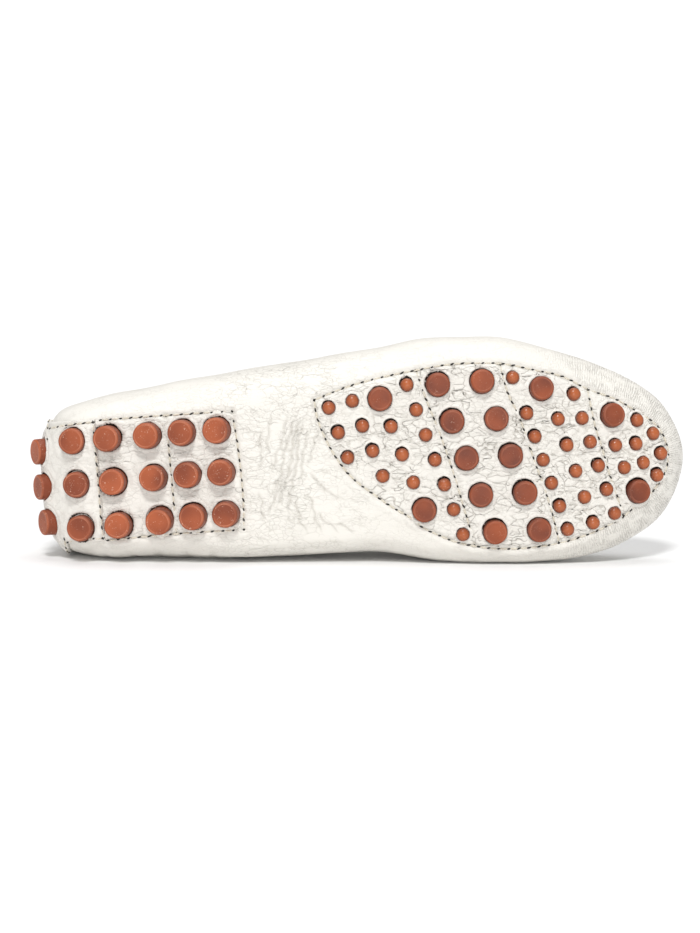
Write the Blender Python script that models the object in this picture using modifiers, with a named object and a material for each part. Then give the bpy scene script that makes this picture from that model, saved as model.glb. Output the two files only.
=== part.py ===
"""A right driving moccasin, lying on its medial side with the studded sole upright.

Every surface is worked out in the shoe's own frame, x from the heel's back to the toe tip,
y to the medial side and z up, and each object is then laid down by one shared matrix.
"""

import math
from collections import namedtuple

import bmesh
import bpy
import numpy as np
from mathutils import Matrix, Vector
from mathutils.bvhtree import BVHTree

# Driving sizes in metres
LENGTH = 0.252
HALF_BALL = 0.0445
HEEL_HEIGHT = 0.060
WALL = 0.0018
GAP = 0.0003
RUBBER = 0.0016
SOCK = 0.0012
TAB = 0.0011
PANEL = 0.0016
BINDING = 0.0010
BINDING_REACH = 0.85
COLLAR_EDGE = 0.0050
LIP = 0.0030
LIP_LEAN = 0.0004
EDGE_RISE = 0.0008
BULGE = 0.0022
PRESS = 0.0010

# How the shoe lies: toe raised off the floor, sole turned up a little, in degrees
LIE_PITCH = 3.5
LIE_ROLL = 4.8

# Studs: radius, height over the hide, sides
FLAT_RADIUS = 0.0052
FLAT_HEIGHT = 0.0055
BROAD_RADIUS = 0.0048
BROAD_HEIGHT = 0.0032
DOME_RADIUS = 0.0026
DOME_HEIGHT = 0.0028
DOME_SHOULDER = 0.50
DOME_CROWN = 0.55
FLAT_SIDES = 10
DOME_SIDES = 6

# Surface sampling
PER_SPAN = 2
ARC_DEGREES = (0.0, 30.0, 60.0, 90.0)
ROWS = (0.0, 0.5, 1.0, 1.5, 2.0, 3.0, 4.0, 4.6, 5.0, 5.4, 6.0, 6.5, 7.0, 8.0)
SOCK_ROWS = ROWS[:6]
SOCK_LAST = 0.6
TOP_ROW = 7.0
RIM_ROW = 8.0
MIX = 0.5
STRIPS = 6

# Shares of LENGTH along, of HALF_BALL across, of HEEL_HEIGHT up, by section from heel to toe
Section = namedtuple(
    "Section",
    "spine girth_x girth_up inset medial lateral arch top_x top_up top_medial top_lateral lip",
)
SECTIONS = (
    Section(0.143, 0.000, 0.410, 0.650, -0.070, 0.070, 0.000, 0.018, 0.917, -0.020, 0.020, 0.0),
    Section(0.155, 0.003, 0.390, 0.610, 0.255, 0.410, 0.000, 0.024, 0.908, 0.247, 0.292, 0.0),
    Section(0.171, 0.028, 0.335, 0.430, 0.525, 0.680, 0.000, 0.046, 0.883, 0.465, 0.528, 0.0),
    Section(0.190, 0.079, 0.285, 0.280, 0.625, 0.780, 0.000, 0.091, 0.842, 0.550, 0.629, 0.0),
    Section(0.222, 0.179, 0.260, 0.236, 0.650, 0.870, 0.000, 0.183, 0.792, 0.580, 0.685, 0.0),
    Section(0.298, 0.298, 0.250, 0.225, 0.696, 0.955, 0.015, 0.298, 0.775, 0.594, 0.719, 0.0),
    Section(0.417, 0.417, 0.250, 0.225, 0.705, 1.025, 0.050, 0.405, 0.833, 0.576, 0.697, 0.0),
    Section(0.516, 0.516, 0.250, 0.236, 0.710, 1.090, 0.058, 0.496, 0.917, 0.539, 0.640, 1.0),
    Section(0.627, 0.627, 0.233, 0.225, 0.835, 1.160, 0.020, 0.611, 0.775, 0.607, 0.697, 1.0),
    Section(0.742, 0.742, 0.217, 0.213, 0.890, 1.120, 0.005, 0.722, 0.650, 0.629, 0.697, 1.0),
    Section(0.825, 0.841, 0.200, 0.255, 0.860, 0.935, 0.000, 0.817, 0.575, 0.573, 0.596, 1.0),
    Section(0.877, 0.921, 0.200, 0.320, 0.740, 0.740, 0.000, 0.885, 0.533, 0.427, 0.416, 1.0),
    Section(0.909, 0.982, 0.208, 0.370, 0.490, 0.480, 0.000, 0.925, 0.517, 0.225, 0.225, 1.0),
    Section(0.921, 1.016, 0.217, 0.340, 0.000, 0.000, 0.000, 0.938, 0.508, 0.000, 0.000, 1.0),
)
THROAT = 7
TOE = len(SECTIONS) - 1

# Height of the sole's centre line: shares of LENGTH along, of HEEL_HEIGHT up
Rocker = namedtuple("Rocker", "along up")
ROCKER = (
    Rocker(0.00, 0.092),
    Rocker(0.12, 0.058),
    Rocker(0.20, 0.033),
    Rocker(0.30, 0.012),
    Rocker(0.42, 0.000),
    Rocker(0.52, 0.003),
    Rocker(0.63, 0.008),
    Rocker(0.74, 0.025),
    Rocker(0.84, 0.067),
    Rocker(0.92, 0.125),
    Rocker(1.00, 0.200),
)

# Stud rows: kinds with blanks for free places, lateral and medial end in shares of LENGTH and
# HALF_BALL, lean of the row's own axis in degrees; a row without one stands along the hide's normal
StudRow = namedtuple("StudRow", "kinds along across along_end across_end lean", defaults=(0.0,))
FORE_ROWS = (
    StudRow("sss", 0.456, -0.591, 0.481, -0.146),
    StudRow("ssss", 0.493, -0.640, 0.534, 0.034),
    StudRow("LsssL", 0.536, -0.645, 0.596, 0.355),
    StudRow("sssssss", 0.579, -0.753, 0.654, 0.589),
    StudRow("LLLLL", 0.627, -0.742, 0.704, 0.582),
    StudRow("LLLLL", 0.696, -0.746, 0.773, 0.587),
    StudRow("s", 0.744, -0.766, 0.744, -0.766),
    StudRow("ssssss", 0.763, -0.445, 0.818, 0.600),
    StudRow("L", 0.788, -0.656, 0.788, -0.656),
    StudRow("sssss", 0.812, -0.378, 0.859, 0.557),
    StudRow("ssssss", 0.839, -0.589, 0.894, 0.483),
    StudRow("L  L", 0.898, -0.384, 0.933, 0.303),
    StudRow("ss", 0.901, -0.117, 0.913, 0.085),
    StudRow("s", 0.938, -0.326, 0.938, -0.326),
    StudRow("ss", 0.934, -0.117, 0.944, 0.052),
    StudRow("s s", 0.963, -0.200, 0.966, 0.172),
    StudRow("s", 0.974, -0.018, 0.974, -0.018),
)
HEEL_ROWS = (
    StudRow("fff", 0.0640, -0.342, 0.0940, 0.290, 62.0),
    StudRow("fff", 0.0722, -0.425, 0.0774, 0.346, 10.0),
    StudRow("fff", 0.1251, -0.431, 0.1350, 0.337, 8.0),
    StudRow("fff", 0.1714, -0.436, 0.1829, 0.312),
    StudRow("fff", 0.2250, -0.445, 0.2349, 0.297),
    StudRow("fff", 0.2790, -0.449, 0.2857, 0.290),
)
TAB_ROWS = 3
HEEL_ROUND = 0.0295

# Stitched outlines of the two rubber sheets and of the heel tab, same shares
FORE_OUTLINE = (
    (0.434, -0.667),
    (0.492, -0.775),
    (0.544, -0.836),
    (0.599, -0.881),
    (0.651, -0.915),
    (0.726, -0.897),
    (0.778, -0.825),
    (0.825, -0.748),
    (0.861, -0.629),
    (0.937, -0.418),
    (0.975, -0.280),
    (0.986, -0.010),
    (0.972, 0.274),
    (0.929, 0.438),
    (0.877, 0.607),
    (0.806, 0.719),
    (0.718, 0.742),
    (0.635, 0.638),
    (0.595, 0.526),
    (0.544, 0.306),
    (0.484, 0.022),
    (0.442, -0.420),
)
HEEL_OUTLINE = (
    (-0.040, -0.600),
    (0.306, -0.609),
    (0.315, 0.144),
    (0.314, 0.438),
    (0.046, 0.470),
    (-0.040, 0.470),
)
HEEL_SHEET_TOP = 0.0245
FORE_SHEET_TOP = 0.0205
TAB_OUTLINE = (
    (-0.060, -0.900),
    (0.018, -0.900),
    (0.018, -0.600),
    (0.093, -0.605),
    (0.098, 0.470),
    (0.037, 0.480),
    (0.037, 0.900),
    (-0.060, 0.900),
)
TAB_TOP = 0.0500

# Apron: crown as a share of its half width at the toe and at the throat, and the tongue behind it
CROWN_TOE = 0.22
CROWN_THROAT = 0.40
TOE_SLOPE = 0.20
TONGUE_STEPS = 2
TONGUE_STEP = 0.0075
TONGUE_RISE = 0.0022
TONGUE_WIDTH = 0.84
BINDING_LAST = 0.50
BINDING_GAP = 0.00045

MERGE = 0.000001
CUT_PAST = 0.0013
FAR = 0.1


def clear_scene():
    """Empty the file so that the script can be run again."""
    for obj in list(bpy.data.objects):
        bpy.data.objects.remove(obj, do_unlink=True)
    for group in list(bpy.data.collections):
        bpy.data.collections.remove(group)


def new_collection(name):
    group = bpy.data.collections.new(name)
    bpy.context.scene.collection.children.link(group)
    return group


def new_material(name, colour, roughness):
    """Plain Principled material."""
    material = bpy.data.materials.new(name)
    material.use_nodes = True
    shader = material.node_tree.nodes["Principled BSDF"]
    shader.inputs["Base Color"].default_value = (*colour, 1.0)
    shader.inputs["Roughness"].default_value = roughness
    material.diffuse_color = (*colour, 1.0)
    return material


def spline(knots, values, where):
    """Smooth curve through values at knots, with three-point slopes, read at each place in where."""
    knots = np.asarray(knots, float)
    values = np.asarray(values, float)
    steps = np.diff(knots)
    chords = np.diff(values, axis=0) / steps[:, None]
    slopes = np.empty_like(values)
    slopes[0] = chords[0]
    slopes[-1] = chords[-1]
    before = steps[:-1, None]
    after = steps[1:, None]
    slopes[1:-1] = (chords[:-1] * after + chords[1:] * before) / (before + after)
    where = np.asarray(where, float)
    index = np.clip(np.searchsorted(knots, where, side="right") - 1, 0, len(steps) - 1)
    step = steps[index][:, None]
    share = (where - knots[index])[:, None] / step
    square = share**2
    cube = share**3
    return (
        (2 * cube - 3 * square + 1) * values[index]
        + (cube - 2 * square + share) * step * slopes[index]
        + (3 * square - 2 * cube) * values[index + 1]
        + (cube - square) * step * slopes[index + 1]
    )


def sole_height(along):
    """Height of the sole's centre line at a distance from the heel's back."""
    knots = [row.along * LENGTH for row in ROCKER]
    heights = [[row.up * HEEL_HEIGHT] for row in ROCKER]
    return float(spline(knots, heights, [min(max(along, 0.0), LENGTH)])[0, 0])


def unit(vector):
    return vector / np.linalg.norm(vector)


def profile(row, side):
    """Guide points of one section, from the sole's centre line to the top edge; side is 1 or -1."""
    across = row.medial if side > 0 else row.lateral
    top_across = row.top_medial if side > 0 else row.top_lateral
    centre = (row.medial - row.lateral) / 2 * HALF_BALL
    spine = np.array([row.spine * LENGTH, centre])
    girth = np.array([row.girth_x * LENGTH, side * across * HALF_BALL])
    outward = unit(girth - spine)
    inset = row.inset * HALF_BALL
    edge = girth - inset * outward
    arch = row.arch * HEEL_HEIGHT if side > 0 else 0.0
    low = sole_height(edge[0]) + EDGE_RISE + arch
    high = sole_height(girth[0]) + row.girth_up * HEEL_HEIGHT
    middle = (spine + edge) / 2
    points = [
        (*spine, sole_height(spine[0])),
        (*middle, sole_height(middle[0]) + arch * MIX),
    ]
    for degrees in ARC_DEGREES:
        turn = math.radians(degrees)
        plan = girth - inset * (1 - math.sin(turn)) * outward
        points.append((*plan, low + (high - low) * (1 - math.cos(turn))))
    top = np.array([row.top_x * LENGTH, side * top_across * HALF_BALL, row.top_up * HEEL_HEIGHT])
    widest = np.array(points[-1])
    points.append((widest + top) / 2 + BULGE * np.array([*outward, 0.0]))
    points.append(top)
    collar = top + COLLAR_EDGE * unit(top - points[-2])
    seam = top + np.array([*(LIP_LEAN * outward), LIP])
    points.append(collar + (seam - collar) * row.lip)
    return np.array(points)


def ring():
    """Guide points of every section round the shoe and the ring's knots, one whole turn."""
    medial = np.array([profile(row, 1) for row in SECTIONS])
    lateral = np.array([profile(row, -1) for row in SECTIONS])
    girth = ARC_DEGREES.index(90.0) + 2
    spans = [
        np.linalg.norm(np.diff(half[:, girth], axis=0), axis=1) for half in (medial, lateral)
    ]
    run = np.concatenate([[0.0], np.cumsum(sum(spans) / 2)])
    knots = np.concatenate([run, 2 * run[-1] - run[-2::-1]])
    points = np.concatenate([medial, lateral[-2::-1]])
    return knots, points


def skin(stations, rows):
    """Outer face of the hide.

    A station counts sections round the shoe: 0 at the heel, up to TOE along the medial side, and
    back below zero along the lateral side. A row counts guide points from the sole to the rim.
    """
    knots, points = ring()
    turn = knots[-1]
    knots = np.concatenate([knots[-4:-1] - turn, knots, knots[1:4] + turn])
    points = np.concatenate([points[-4:-1], points, points[1:4]])
    stations = np.asarray(stations, float) % (2 * TOE)
    places = np.interp(stations, np.arange(2 * TOE + 1), knots[3:-3])
    columns = spline(knots, points.reshape(len(points), -1), places)
    columns = columns.reshape(len(stations), -1, 3)
    rows = np.asarray(rows, float)
    grid = np.empty((len(stations), len(rows), 3))
    for column, guides in zip(grid, columns):
        body = guides[: int(TOP_ROW) + 1]
        length = np.concatenate([[0.0], np.cumsum(np.linalg.norm(np.diff(body, axis=0), axis=1))])
        at = np.interp(np.minimum(rows, TOP_ROW), np.arange(len(body)), length)
        column[:] = spline(length, body, at)
        over = np.clip(rows - TOP_ROW, 0.0, 1.0)[:, None]
        column += over * (guides[-1] - guides[-2])
    return pressed(grid)


def lie_rotation():
    """Turns the shoe from standing to lying on its medial side, sole to -Y."""
    down = Matrix.Rotation(math.radians(-90), 4, "X")
    roll = Matrix.Rotation(math.radians(-LIE_ROLL), 4, "X")
    pitch = Matrix.Rotation(math.radians(-LIE_PITCH), 4, "Y")
    return pitch @ roll @ down


def floor_normal():
    """Direction of the floor in the shoe's frame."""
    return np.array(lie_rotation().to_3x3().transposed() @ Vector((0, 0, -1)))


def floor_reach():
    """How far the widest girth reaches toward the floor before the floor presses it flat."""
    knots, points = ring()
    stations = np.arange(0, TOE + 1, 1 / PER_SPAN)
    places = np.interp(stations, np.arange(len(knots)), knots)
    columns = spline(knots, points.reshape(len(points), -1), places)
    return float((columns.reshape(-1, 3) @ floor_normal()).max())


def pressed(grid):
    """The hide where it rests is flattened by the floor."""
    normal = floor_normal()
    over = grid @ normal - (floor_reach() - PRESS)
    return grid - np.maximum(over, 0.0)[..., None] * normal


def grid_mesh(name, grid, closed):
    """Open quad mesh over a grid of points, its twin points on the sole's centre line joined."""
    columns, rows = grid.shape[:2]
    mesh = bpy.data.meshes.new(name)
    faces = []
    for i in range(columns if closed else columns - 1):
        after = (i + 1) % columns
        for j in range(rows - 1):
            faces.append((i * rows + j, i * rows + j + 1, after * rows + j + 1, after * rows + j))
    mesh.from_pydata(grid.reshape(-1, 3).tolist(), [], faces)
    work = bmesh.new()
    work.from_mesh(mesh)
    bmesh.ops.remove_doubles(work, verts=work.verts, dist=MERGE)
    bmesh.ops.dissolve_degenerate(work, edges=work.edges, dist=MERGE)
    work.to_mesh(mesh)
    work.free()
    return mesh


def add_object(name, mesh, group, material):
    obj = bpy.data.objects.new(name, mesh)
    group.objects.link(obj)
    if material:
        mesh.materials.append(material)
    return obj


def add_layer(obj, near, far):
    """Solid between two distances outward from the object's surface."""
    shell = obj.modifiers.new("wall", "SOLIDIFY")
    shell.thickness = far - near
    shell.offset = (far + near) / (far - near)
    shell.use_even_offset = True
    shell.use_quality_normals = True


def add_boolean(obj, operation, tool):
    change = obj.modifiers.new(tool.name, "BOOLEAN")
    change.operation = operation
    change.solver = "EXACT"
    change.object = tool


def hide_tool(tool):
    tool.hide_render = True
    tool.display_type = "WIRE"


def prism(name, outline, bottom, top, tools):
    """Upright cutter from a plan outline given in shares."""
    work = bmesh.new()
    verts = [work.verts.new((x * LENGTH, y * HALF_BALL, bottom)) for x, y in outline]
    base = work.faces.new(verts)
    raised = bmesh.ops.extrude_face_region(work, geom=[base])
    moved = [item for item in raised["geom"] if isinstance(item, bmesh.types.BMVert)]
    bmesh.ops.translate(work, verts=moved, vec=(0, 0, top - bottom))
    bmesh.ops.recalc_face_normals(work, faces=work.faces)
    mesh = bpy.data.meshes.new(name)
    work.to_mesh(mesh)
    work.free()
    tool = add_object(name, mesh, tools, None)
    hide_tool(tool)
    return tool


def stud_radius(kind):
    return {"s": DOME_RADIUS, "L": BROAD_RADIUS, "f": FLAT_RADIUS}[kind]


def stud_shape(kind, swell, base, extra):
    """Half outline of a turned stud: radius and height pairs from its foot to its crown."""
    radius = stud_radius(kind) + swell
    if kind == "s":
        return (
            (0.0, base),
            (radius, base),
            (radius, DOME_HEIGHT * DOME_SHOULDER + extra),
            (radius * DOME_CROWN, DOME_HEIGHT + extra),
            (0.0, DOME_HEIGHT + extra),
        )
    height = (FLAT_HEIGHT if kind == "f" else BROAD_HEIGHT) + extra
    return (
        (0.0, base),
        (radius, base),
        (radius, height),
        (0.0, height),
    )


def turned(work, outline, sides, matrix):
    """Spin a half outline round its axis into the mesh being worked on."""
    part = bmesh.new()
    verts = [part.verts.new((radius, 0, height)) for radius, height in outline]
    edges = [part.edges.new(pair) for pair in zip(verts, verts[1:])]
    bmesh.ops.spin(
        part, geom=verts + edges, axis=(0, 0, 1), cent=(0, 0, 0), angle=math.tau, steps=sides
    )
    bmesh.ops.remove_doubles(part, verts=part.verts, dist=MERGE)
    bmesh.ops.recalc_face_normals(part, faces=part.faces)
    bmesh.ops.transform(part, matrix=matrix, verts=part.verts)
    mesh = bpy.data.meshes.new("stud")
    part.to_mesh(mesh)
    part.free()
    work.from_mesh(mesh)
    bpy.data.meshes.remove(mesh)


def stud_places(rows, tree):
    """Kind and standing matrix of each stud, its foot on the hide.

    Its axis is the hide's normal or, in a leaning row, the row's own direction.
    """
    for row in rows:
        lean = math.radians(row.lean)
        look = Vector((math.sin(lean), 0, math.cos(lean)))
        for index, kind in enumerate(row.kinds):
            if kind == " ":
                continue
            share = index / max(len(row.kinds) - 1, 1)
            x = (row.along + (row.along_end - row.along) * share) * LENGTH
            y = (row.across + (row.across_end - row.across) * share) * HALF_BALL
            aim = Vector((x, y, HEEL_ROUND if row.lean else 0.0))
            foot, normal, _, _ = tree.ray_cast(aim - look * FAR, look)
            axis = -look if row.lean else normal
            if axis.dot(look) > 0:
                axis = -axis
            turn = axis.to_track_quat("Z", "Y").to_matrix().to_4x4()
            yield kind, Matrix.Translation(foot) @ turn


def stud_mesh(name, rows, tree, swell, base, extra):
    """All studs of some rows; with a swell they are hole cutters, cut deeper where they are wide."""
    work = bmesh.new()
    for kind, matrix in stud_places(rows, tree):
        sides = DOME_SIDES if kind == "s" else FLAT_SIDES
        if swell:
            base = -WALL - CUT_PAST * stud_radius(kind) / DOME_RADIUS
        turned(work, stud_shape(kind, swell, base, extra), sides, matrix)
    mesh = bpy.data.meshes.new(name)
    work.to_mesh(mesh)
    work.free()
    return mesh


def hole_cutter(name, rows, tree, tools):
    """Stud shapes with the clearance added, long enough to pass the hide and the tab."""
    mesh = stud_mesh(name, rows, tree, GAP, -WALL, TAB + CUT_PAST)
    tool = add_object(name, mesh, tools, None)
    hide_tool(tool)
    return tool


def stations_between(first, last):
    count = int(round((last - first) * PER_SPAN)) + 1
    return np.linspace(first, last, count)


def make_upper(parts, materials, cutters):
    grid = skin(np.arange(0, 2 * TOE, 1 / PER_SPAN), ROWS)
    upper = add_object("upper", grid_mesh("upper", grid, True), parts, materials["hide"])
    add_layer(upper, -WALL, 0.0)
    for cutter in cutters:
        add_boolean(upper, "DIFFERENCE", cutter)
    return upper


def make_sheet(name, stations, outline, top, studs, parts, tools, material):
    """Rubber sheet inside the hide with its studs standing on it."""
    grid = skin(stations, ROWS[:-2])
    sheet = add_object(name, grid_mesh(name, grid, False), parts, material)
    add_layer(sheet, -WALL - GAP - RUBBER, -WALL - GAP)
    add_boolean(sheet, "INTERSECT", prism(name + "_outline", outline, -FAR, top, tools))
    add_boolean(sheet, "UNION", studs)
    return sheet


def make_heel_tab(parts, tools, material, cutter):
    grid = skin(stations_between(-5, 5), ROWS[:-1])
    tab = add_object("heel_tab", grid_mesh("heel_tab", grid, False), parts, material)
    add_layer(tab, GAP, GAP + TAB)
    add_boolean(tab, "INTERSECT", prism("tab_outline", TAB_OUTLINE, -FAR, TAB_TOP, tools))
    add_boolean(tab, "DIFFERENCE", cutter)
    return tab


def make_insole(parts, material):
    grid = skin(np.arange(0, 2 * TOE, 1 / PER_SPAN), SOCK_ROWS)
    grid[:, -1] = grid[:, -2] + (grid[:, -1] - grid[:, -2]) * SOCK_LAST
    insole = add_object("insole", grid_mesh("insole", grid, True), parts, material)
    depth = WALL + GAP + RUBBER + GAP
    add_layer(insole, -depth - SOCK, -depth)
    return insole


def plan_normals(chords):
    normals = np.stack([-chords[:, 1], chords[:, 0], np.zeros(len(chords))], axis=1)
    return normals / np.linalg.norm(normals, axis=1)[:, None]


def seam_edge(stations):
    """Foot and rim of the hide's top edge per station, with its mitred outward direction in plan."""
    stations = np.asarray(stations)
    foot, rim = np.swapaxes(skin(stations, (TOP_ROW, RIM_ROW)), 0, 1)
    ahead = skin(stations + 1 / PER_SPAN, (TOP_ROW,))[:, 0] - foot
    behind = foot - skin(stations - 1 / PER_SPAN, (TOP_ROW,))[:, 0]
    first = plan_normals(ahead)
    outward = first + plan_normals(behind)
    outward /= np.sum(outward * first, axis=1)[:, None]
    return foot, rim, outward


def make_apron(parts, material):
    """Panel between the two seam edges, its border folded up against the hide's lip."""
    stations = stations_between(THROAT, TOE)
    inset = WALL + GAP
    sides = []
    for turn in (1, -1):
        foot, rim, outward = seam_edge(stations * turn)
        sides.append((foot - inset * outward, rim - inset * outward))
    count = len(stations)
    toe_tip = sides[0][0][-1][0]
    work = bmesh.new()
    shares = np.linspace(-1.0, 1.0, STRIPS + 1)
    rows = []
    for i in range(-TONGUE_STEPS, count):
        at = max(i, 0)
        left = sides[1][0][at]
        right = sides[0][0][at]
        middle = (left + right) / 2
        half = (right - left) / 2
        crown_share = CROWN_THROAT + (CROWN_TOE - CROWN_THROAT) * at / (count - 1)
        crown = min(crown_share * np.linalg.norm(half), TOE_SLOPE * (toe_tip - middle[0]))
        if i < 0:
            middle = middle + np.array([i * TONGUE_STEP, 0.0, -i * TONGUE_RISE])
            half = half * TONGUE_WIDTH
        row = [middle + half * s + np.array([0.0, 0.0, crown * (1 - s * s)]) for s in shares]
        rows.append([work.verts.new(point) for point in row])
    for first, second in zip(rows, rows[1:]):
        for j in range(STRIPS):
            work.faces.new((first[j], first[j + 1], second[j + 1], second[j]))
    for side, column in ((0, STRIPS), (1, 0)):
        rims = [work.verts.new(point) for point in sides[side][1]]
        feet = [row[column] for row in rows[TONGUE_STEPS:]]
        for i in range(count - 1):
            work.faces.new((feet[i], rims[i], rims[i + 1], feet[i + 1]))
    bmesh.ops.remove_doubles(work, verts=work.verts, dist=MERGE)
    bmesh.ops.dissolve_degenerate(work, edges=work.edges, dist=MERGE)
    bmesh.ops.recalc_face_normals(work, faces=work.faces)
    work.faces.ensure_lookup_table()
    if max(work.faces, key=lambda face: face.calc_center_median().z).normal.z < 0:
        bmesh.ops.reverse_faces(work, faces=work.faces)
    mesh = bpy.data.meshes.new("apron")
    work.to_mesh(mesh)
    work.free()
    apron = add_object("apron", mesh, parts, material)
    add_layer(apron, 0.0, PANEL)
    return apron


def make_binding(parts, material):
    """Channel of thin leather over the collar's edge."""
    foot, rim, outward = seam_edge(stations_between(-THROAT, THROAT))
    for line in (foot, rim):
        line[0] = line[1] + (line[0] - line[1]) * BINDING_LAST
        line[-1] = line[-2] + (line[-1] - line[-2]) * BINDING_LAST
    near = BINDING_GAP
    far = BINDING_GAP + BINDING
    grid = []
    for low, high, out, along in zip(foot, rim, outward, np.gradient(rim, axis=0)):
        upward = unit(high - low)
        normal = unit(np.cross(along, upward))
        normal *= np.sign(np.dot(normal, out))
        reach = BINDING_REACH * np.linalg.norm(high - low)
        outline = (
            (far, -reach),
            (far, GAP + BINDING * MIX),
            (near, GAP + BINDING),
            (-WALL - near, GAP + BINDING),
            (-WALL - far, GAP + BINDING * MIX),
            (-WALL - far, -reach),
            (-WALL - near, -reach),
            (-WALL - near, GAP),
            (near, GAP),
            (near, -reach),
        )
        grid.append([high + normal * across + upward * up for across, up in outline])
    grid = np.array(grid)
    count, size = grid.shape[:2]
    faces = []
    for i in range(count - 1):
        for j in range(size):
            k = (j + 1) % size
            faces.append((i * size + j, i * size + k, (i + 1) * size + k, (i + 1) * size + j))
    faces.append(tuple(range(size)))
    faces.append(tuple(range((count - 1) * size, count * size))[::-1])
    mesh = bpy.data.meshes.new("collar_binding")
    mesh.from_pydata(grid.reshape(-1, 3).tolist(), [], faces)
    work = bmesh.new()
    work.from_mesh(mesh)
    bmesh.ops.recalc_face_normals(work, faces=work.faces)
    work.to_mesh(mesh)
    work.free()
    return add_object("collar_binding", mesh, parts, material)


def lay_down(objects, solids):
    """Lay everything on its side, then put the origin under the middle of its box."""
    turn = lie_rotation()
    for obj in objects:
        obj.matrix_world = turn
    bpy.context.view_layer.update()
    graph = bpy.context.evaluated_depsgraph_get()
    corners = []
    for obj in solids:
        seen = obj.evaluated_get(graph)
        corners += [seen.matrix_world @ vertex.co for vertex in seen.data.vertices]
    corners = np.array(corners)
    low = corners.min(axis=0)
    high = corners.max(axis=0)
    middle = (low + high) / 2
    shift = Matrix.Translation((-middle[0], -middle[1], -low[2]))
    for obj in objects:
        obj.matrix_world = shift @ turn


def main():
    clear_scene()
    parts = new_collection("driving_moccasin")
    tools = new_collection("cutters")
    materials = {
        "hide": new_material("leather_hide", (0.80, 0.77, 0.70), 0.55),
        "apron": new_material("leather_apron", (0.81, 0.78, 0.71), 0.55),
        "tab": new_material("leather_tab", (0.79, 0.76, 0.69), 0.50),
        "binding": new_material("leather_binding", (0.76, 0.73, 0.66), 0.55),
        "insole": new_material("leather_insole", (0.72, 0.62, 0.48), 0.60),
        "fore": new_material("rubber_forefoot", (0.38, 0.15, 0.09), 0.45),
        "heel": new_material("rubber_heel", (0.42, 0.16, 0.10), 0.45),
    }
    hide_grid = skin(np.arange(0, 2 * TOE, 1 / PER_SPAN), ROWS)
    hide = grid_mesh("hide_surface", hide_grid, True)
    tree = BVHTree.FromPolygons(
        [vertex.co for vertex in hide.vertices], [face.vertices for face in hide.polygons]
    )
    bpy.data.meshes.remove(hide)
    root = -WALL - GAP - RUBBER * MIX
    studs = []
    holes = []
    for name, rows in (("forefoot", FORE_ROWS), ("heel", HEEL_ROWS)):
        mesh = stud_mesh(name + "_stud_set", rows, tree, 0.0, root, 0.0)
        tool = add_object(name + "_stud_set", mesh, tools, None)
        hide_tool(tool)
        studs.append(tool)
        holes.append(hole_cutter(name + "_holes", rows, tree, tools))
    tab_holes = hole_cutter("tab_holes", HEEL_ROWS[:TAB_ROWS], tree, tools)
    make_upper(parts, materials, holes)
    make_sheet(
        "forefoot_studs",
        stations_between(5, 2 * TOE - 5),
        FORE_OUTLINE,
        FORE_SHEET_TOP,
        studs[0],
        parts,
        tools,
        materials["fore"],
    )
    make_sheet(
        "heel_studs",
        stations_between(-6, 6),
        HEEL_OUTLINE,
        HEEL_SHEET_TOP,
        studs[1],
        parts,
        tools,
        materials["heel"],
    )
    make_heel_tab(parts, tools, materials["tab"], tab_holes)
    make_apron(parts, materials["apron"])
    make_binding(parts, materials["binding"])
    make_insole(parts, materials["insole"])
    lay_down(list(parts.objects) + list(tools.objects), list(parts.objects))


main()
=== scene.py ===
"""Dress of a right driving moccasin that lies on its medial side with the studded sole upright.

Every surface is worked out in the shoe's own frame, x from the heel's back to the toe tip, y to
the medial side and z up, in metres, and is then laid down by one matrix that it shares with the
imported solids. Tables marked as millimetres are places in the sole's plan.
"""

import logging
import math
from collections.abc import Iterator, Sequence
from dataclasses import dataclass, field
from enum import Enum
from typing import NamedTuple

import bmesh
import bpy
import numpy as np
from mathutils import Matrix, Vector, noise
from mathutils.bvhtree import BVHTree
from numpy.typing import NDArray

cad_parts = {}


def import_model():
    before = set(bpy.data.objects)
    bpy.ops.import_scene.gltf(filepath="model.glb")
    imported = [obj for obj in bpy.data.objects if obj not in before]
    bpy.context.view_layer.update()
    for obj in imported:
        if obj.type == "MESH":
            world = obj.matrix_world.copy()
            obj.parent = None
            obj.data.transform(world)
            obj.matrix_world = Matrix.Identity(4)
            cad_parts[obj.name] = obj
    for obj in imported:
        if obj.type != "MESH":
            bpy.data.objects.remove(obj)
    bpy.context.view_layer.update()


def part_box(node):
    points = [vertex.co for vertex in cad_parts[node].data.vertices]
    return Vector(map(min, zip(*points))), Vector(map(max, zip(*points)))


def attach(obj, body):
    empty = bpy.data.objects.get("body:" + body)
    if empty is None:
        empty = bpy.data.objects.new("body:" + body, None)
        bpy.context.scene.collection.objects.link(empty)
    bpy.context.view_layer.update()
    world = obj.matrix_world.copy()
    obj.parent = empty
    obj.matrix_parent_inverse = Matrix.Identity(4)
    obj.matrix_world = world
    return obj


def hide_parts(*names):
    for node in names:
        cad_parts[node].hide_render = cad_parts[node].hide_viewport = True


Points = NDArray[np.float64]
Colour = tuple[float, float, float]
Place = tuple[float, float]
Socket = bpy.types.NodeSocket

LOG = logging.getLogger("moccasin")
MM = 0.001
TINY = 1e-9
FAR = 0.1
BODY = "root"


class Section(NamedTuple):
    """Guide sizes of one section of the last, as shares of length, half ball and heel height."""

    spine: float
    girth_x: float
    girth_up: float
    inset: float
    medial: float
    lateral: float
    arch: float
    top_x: float
    top_up: float
    top_medial: float
    top_lateral: float
    lip: float


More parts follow.
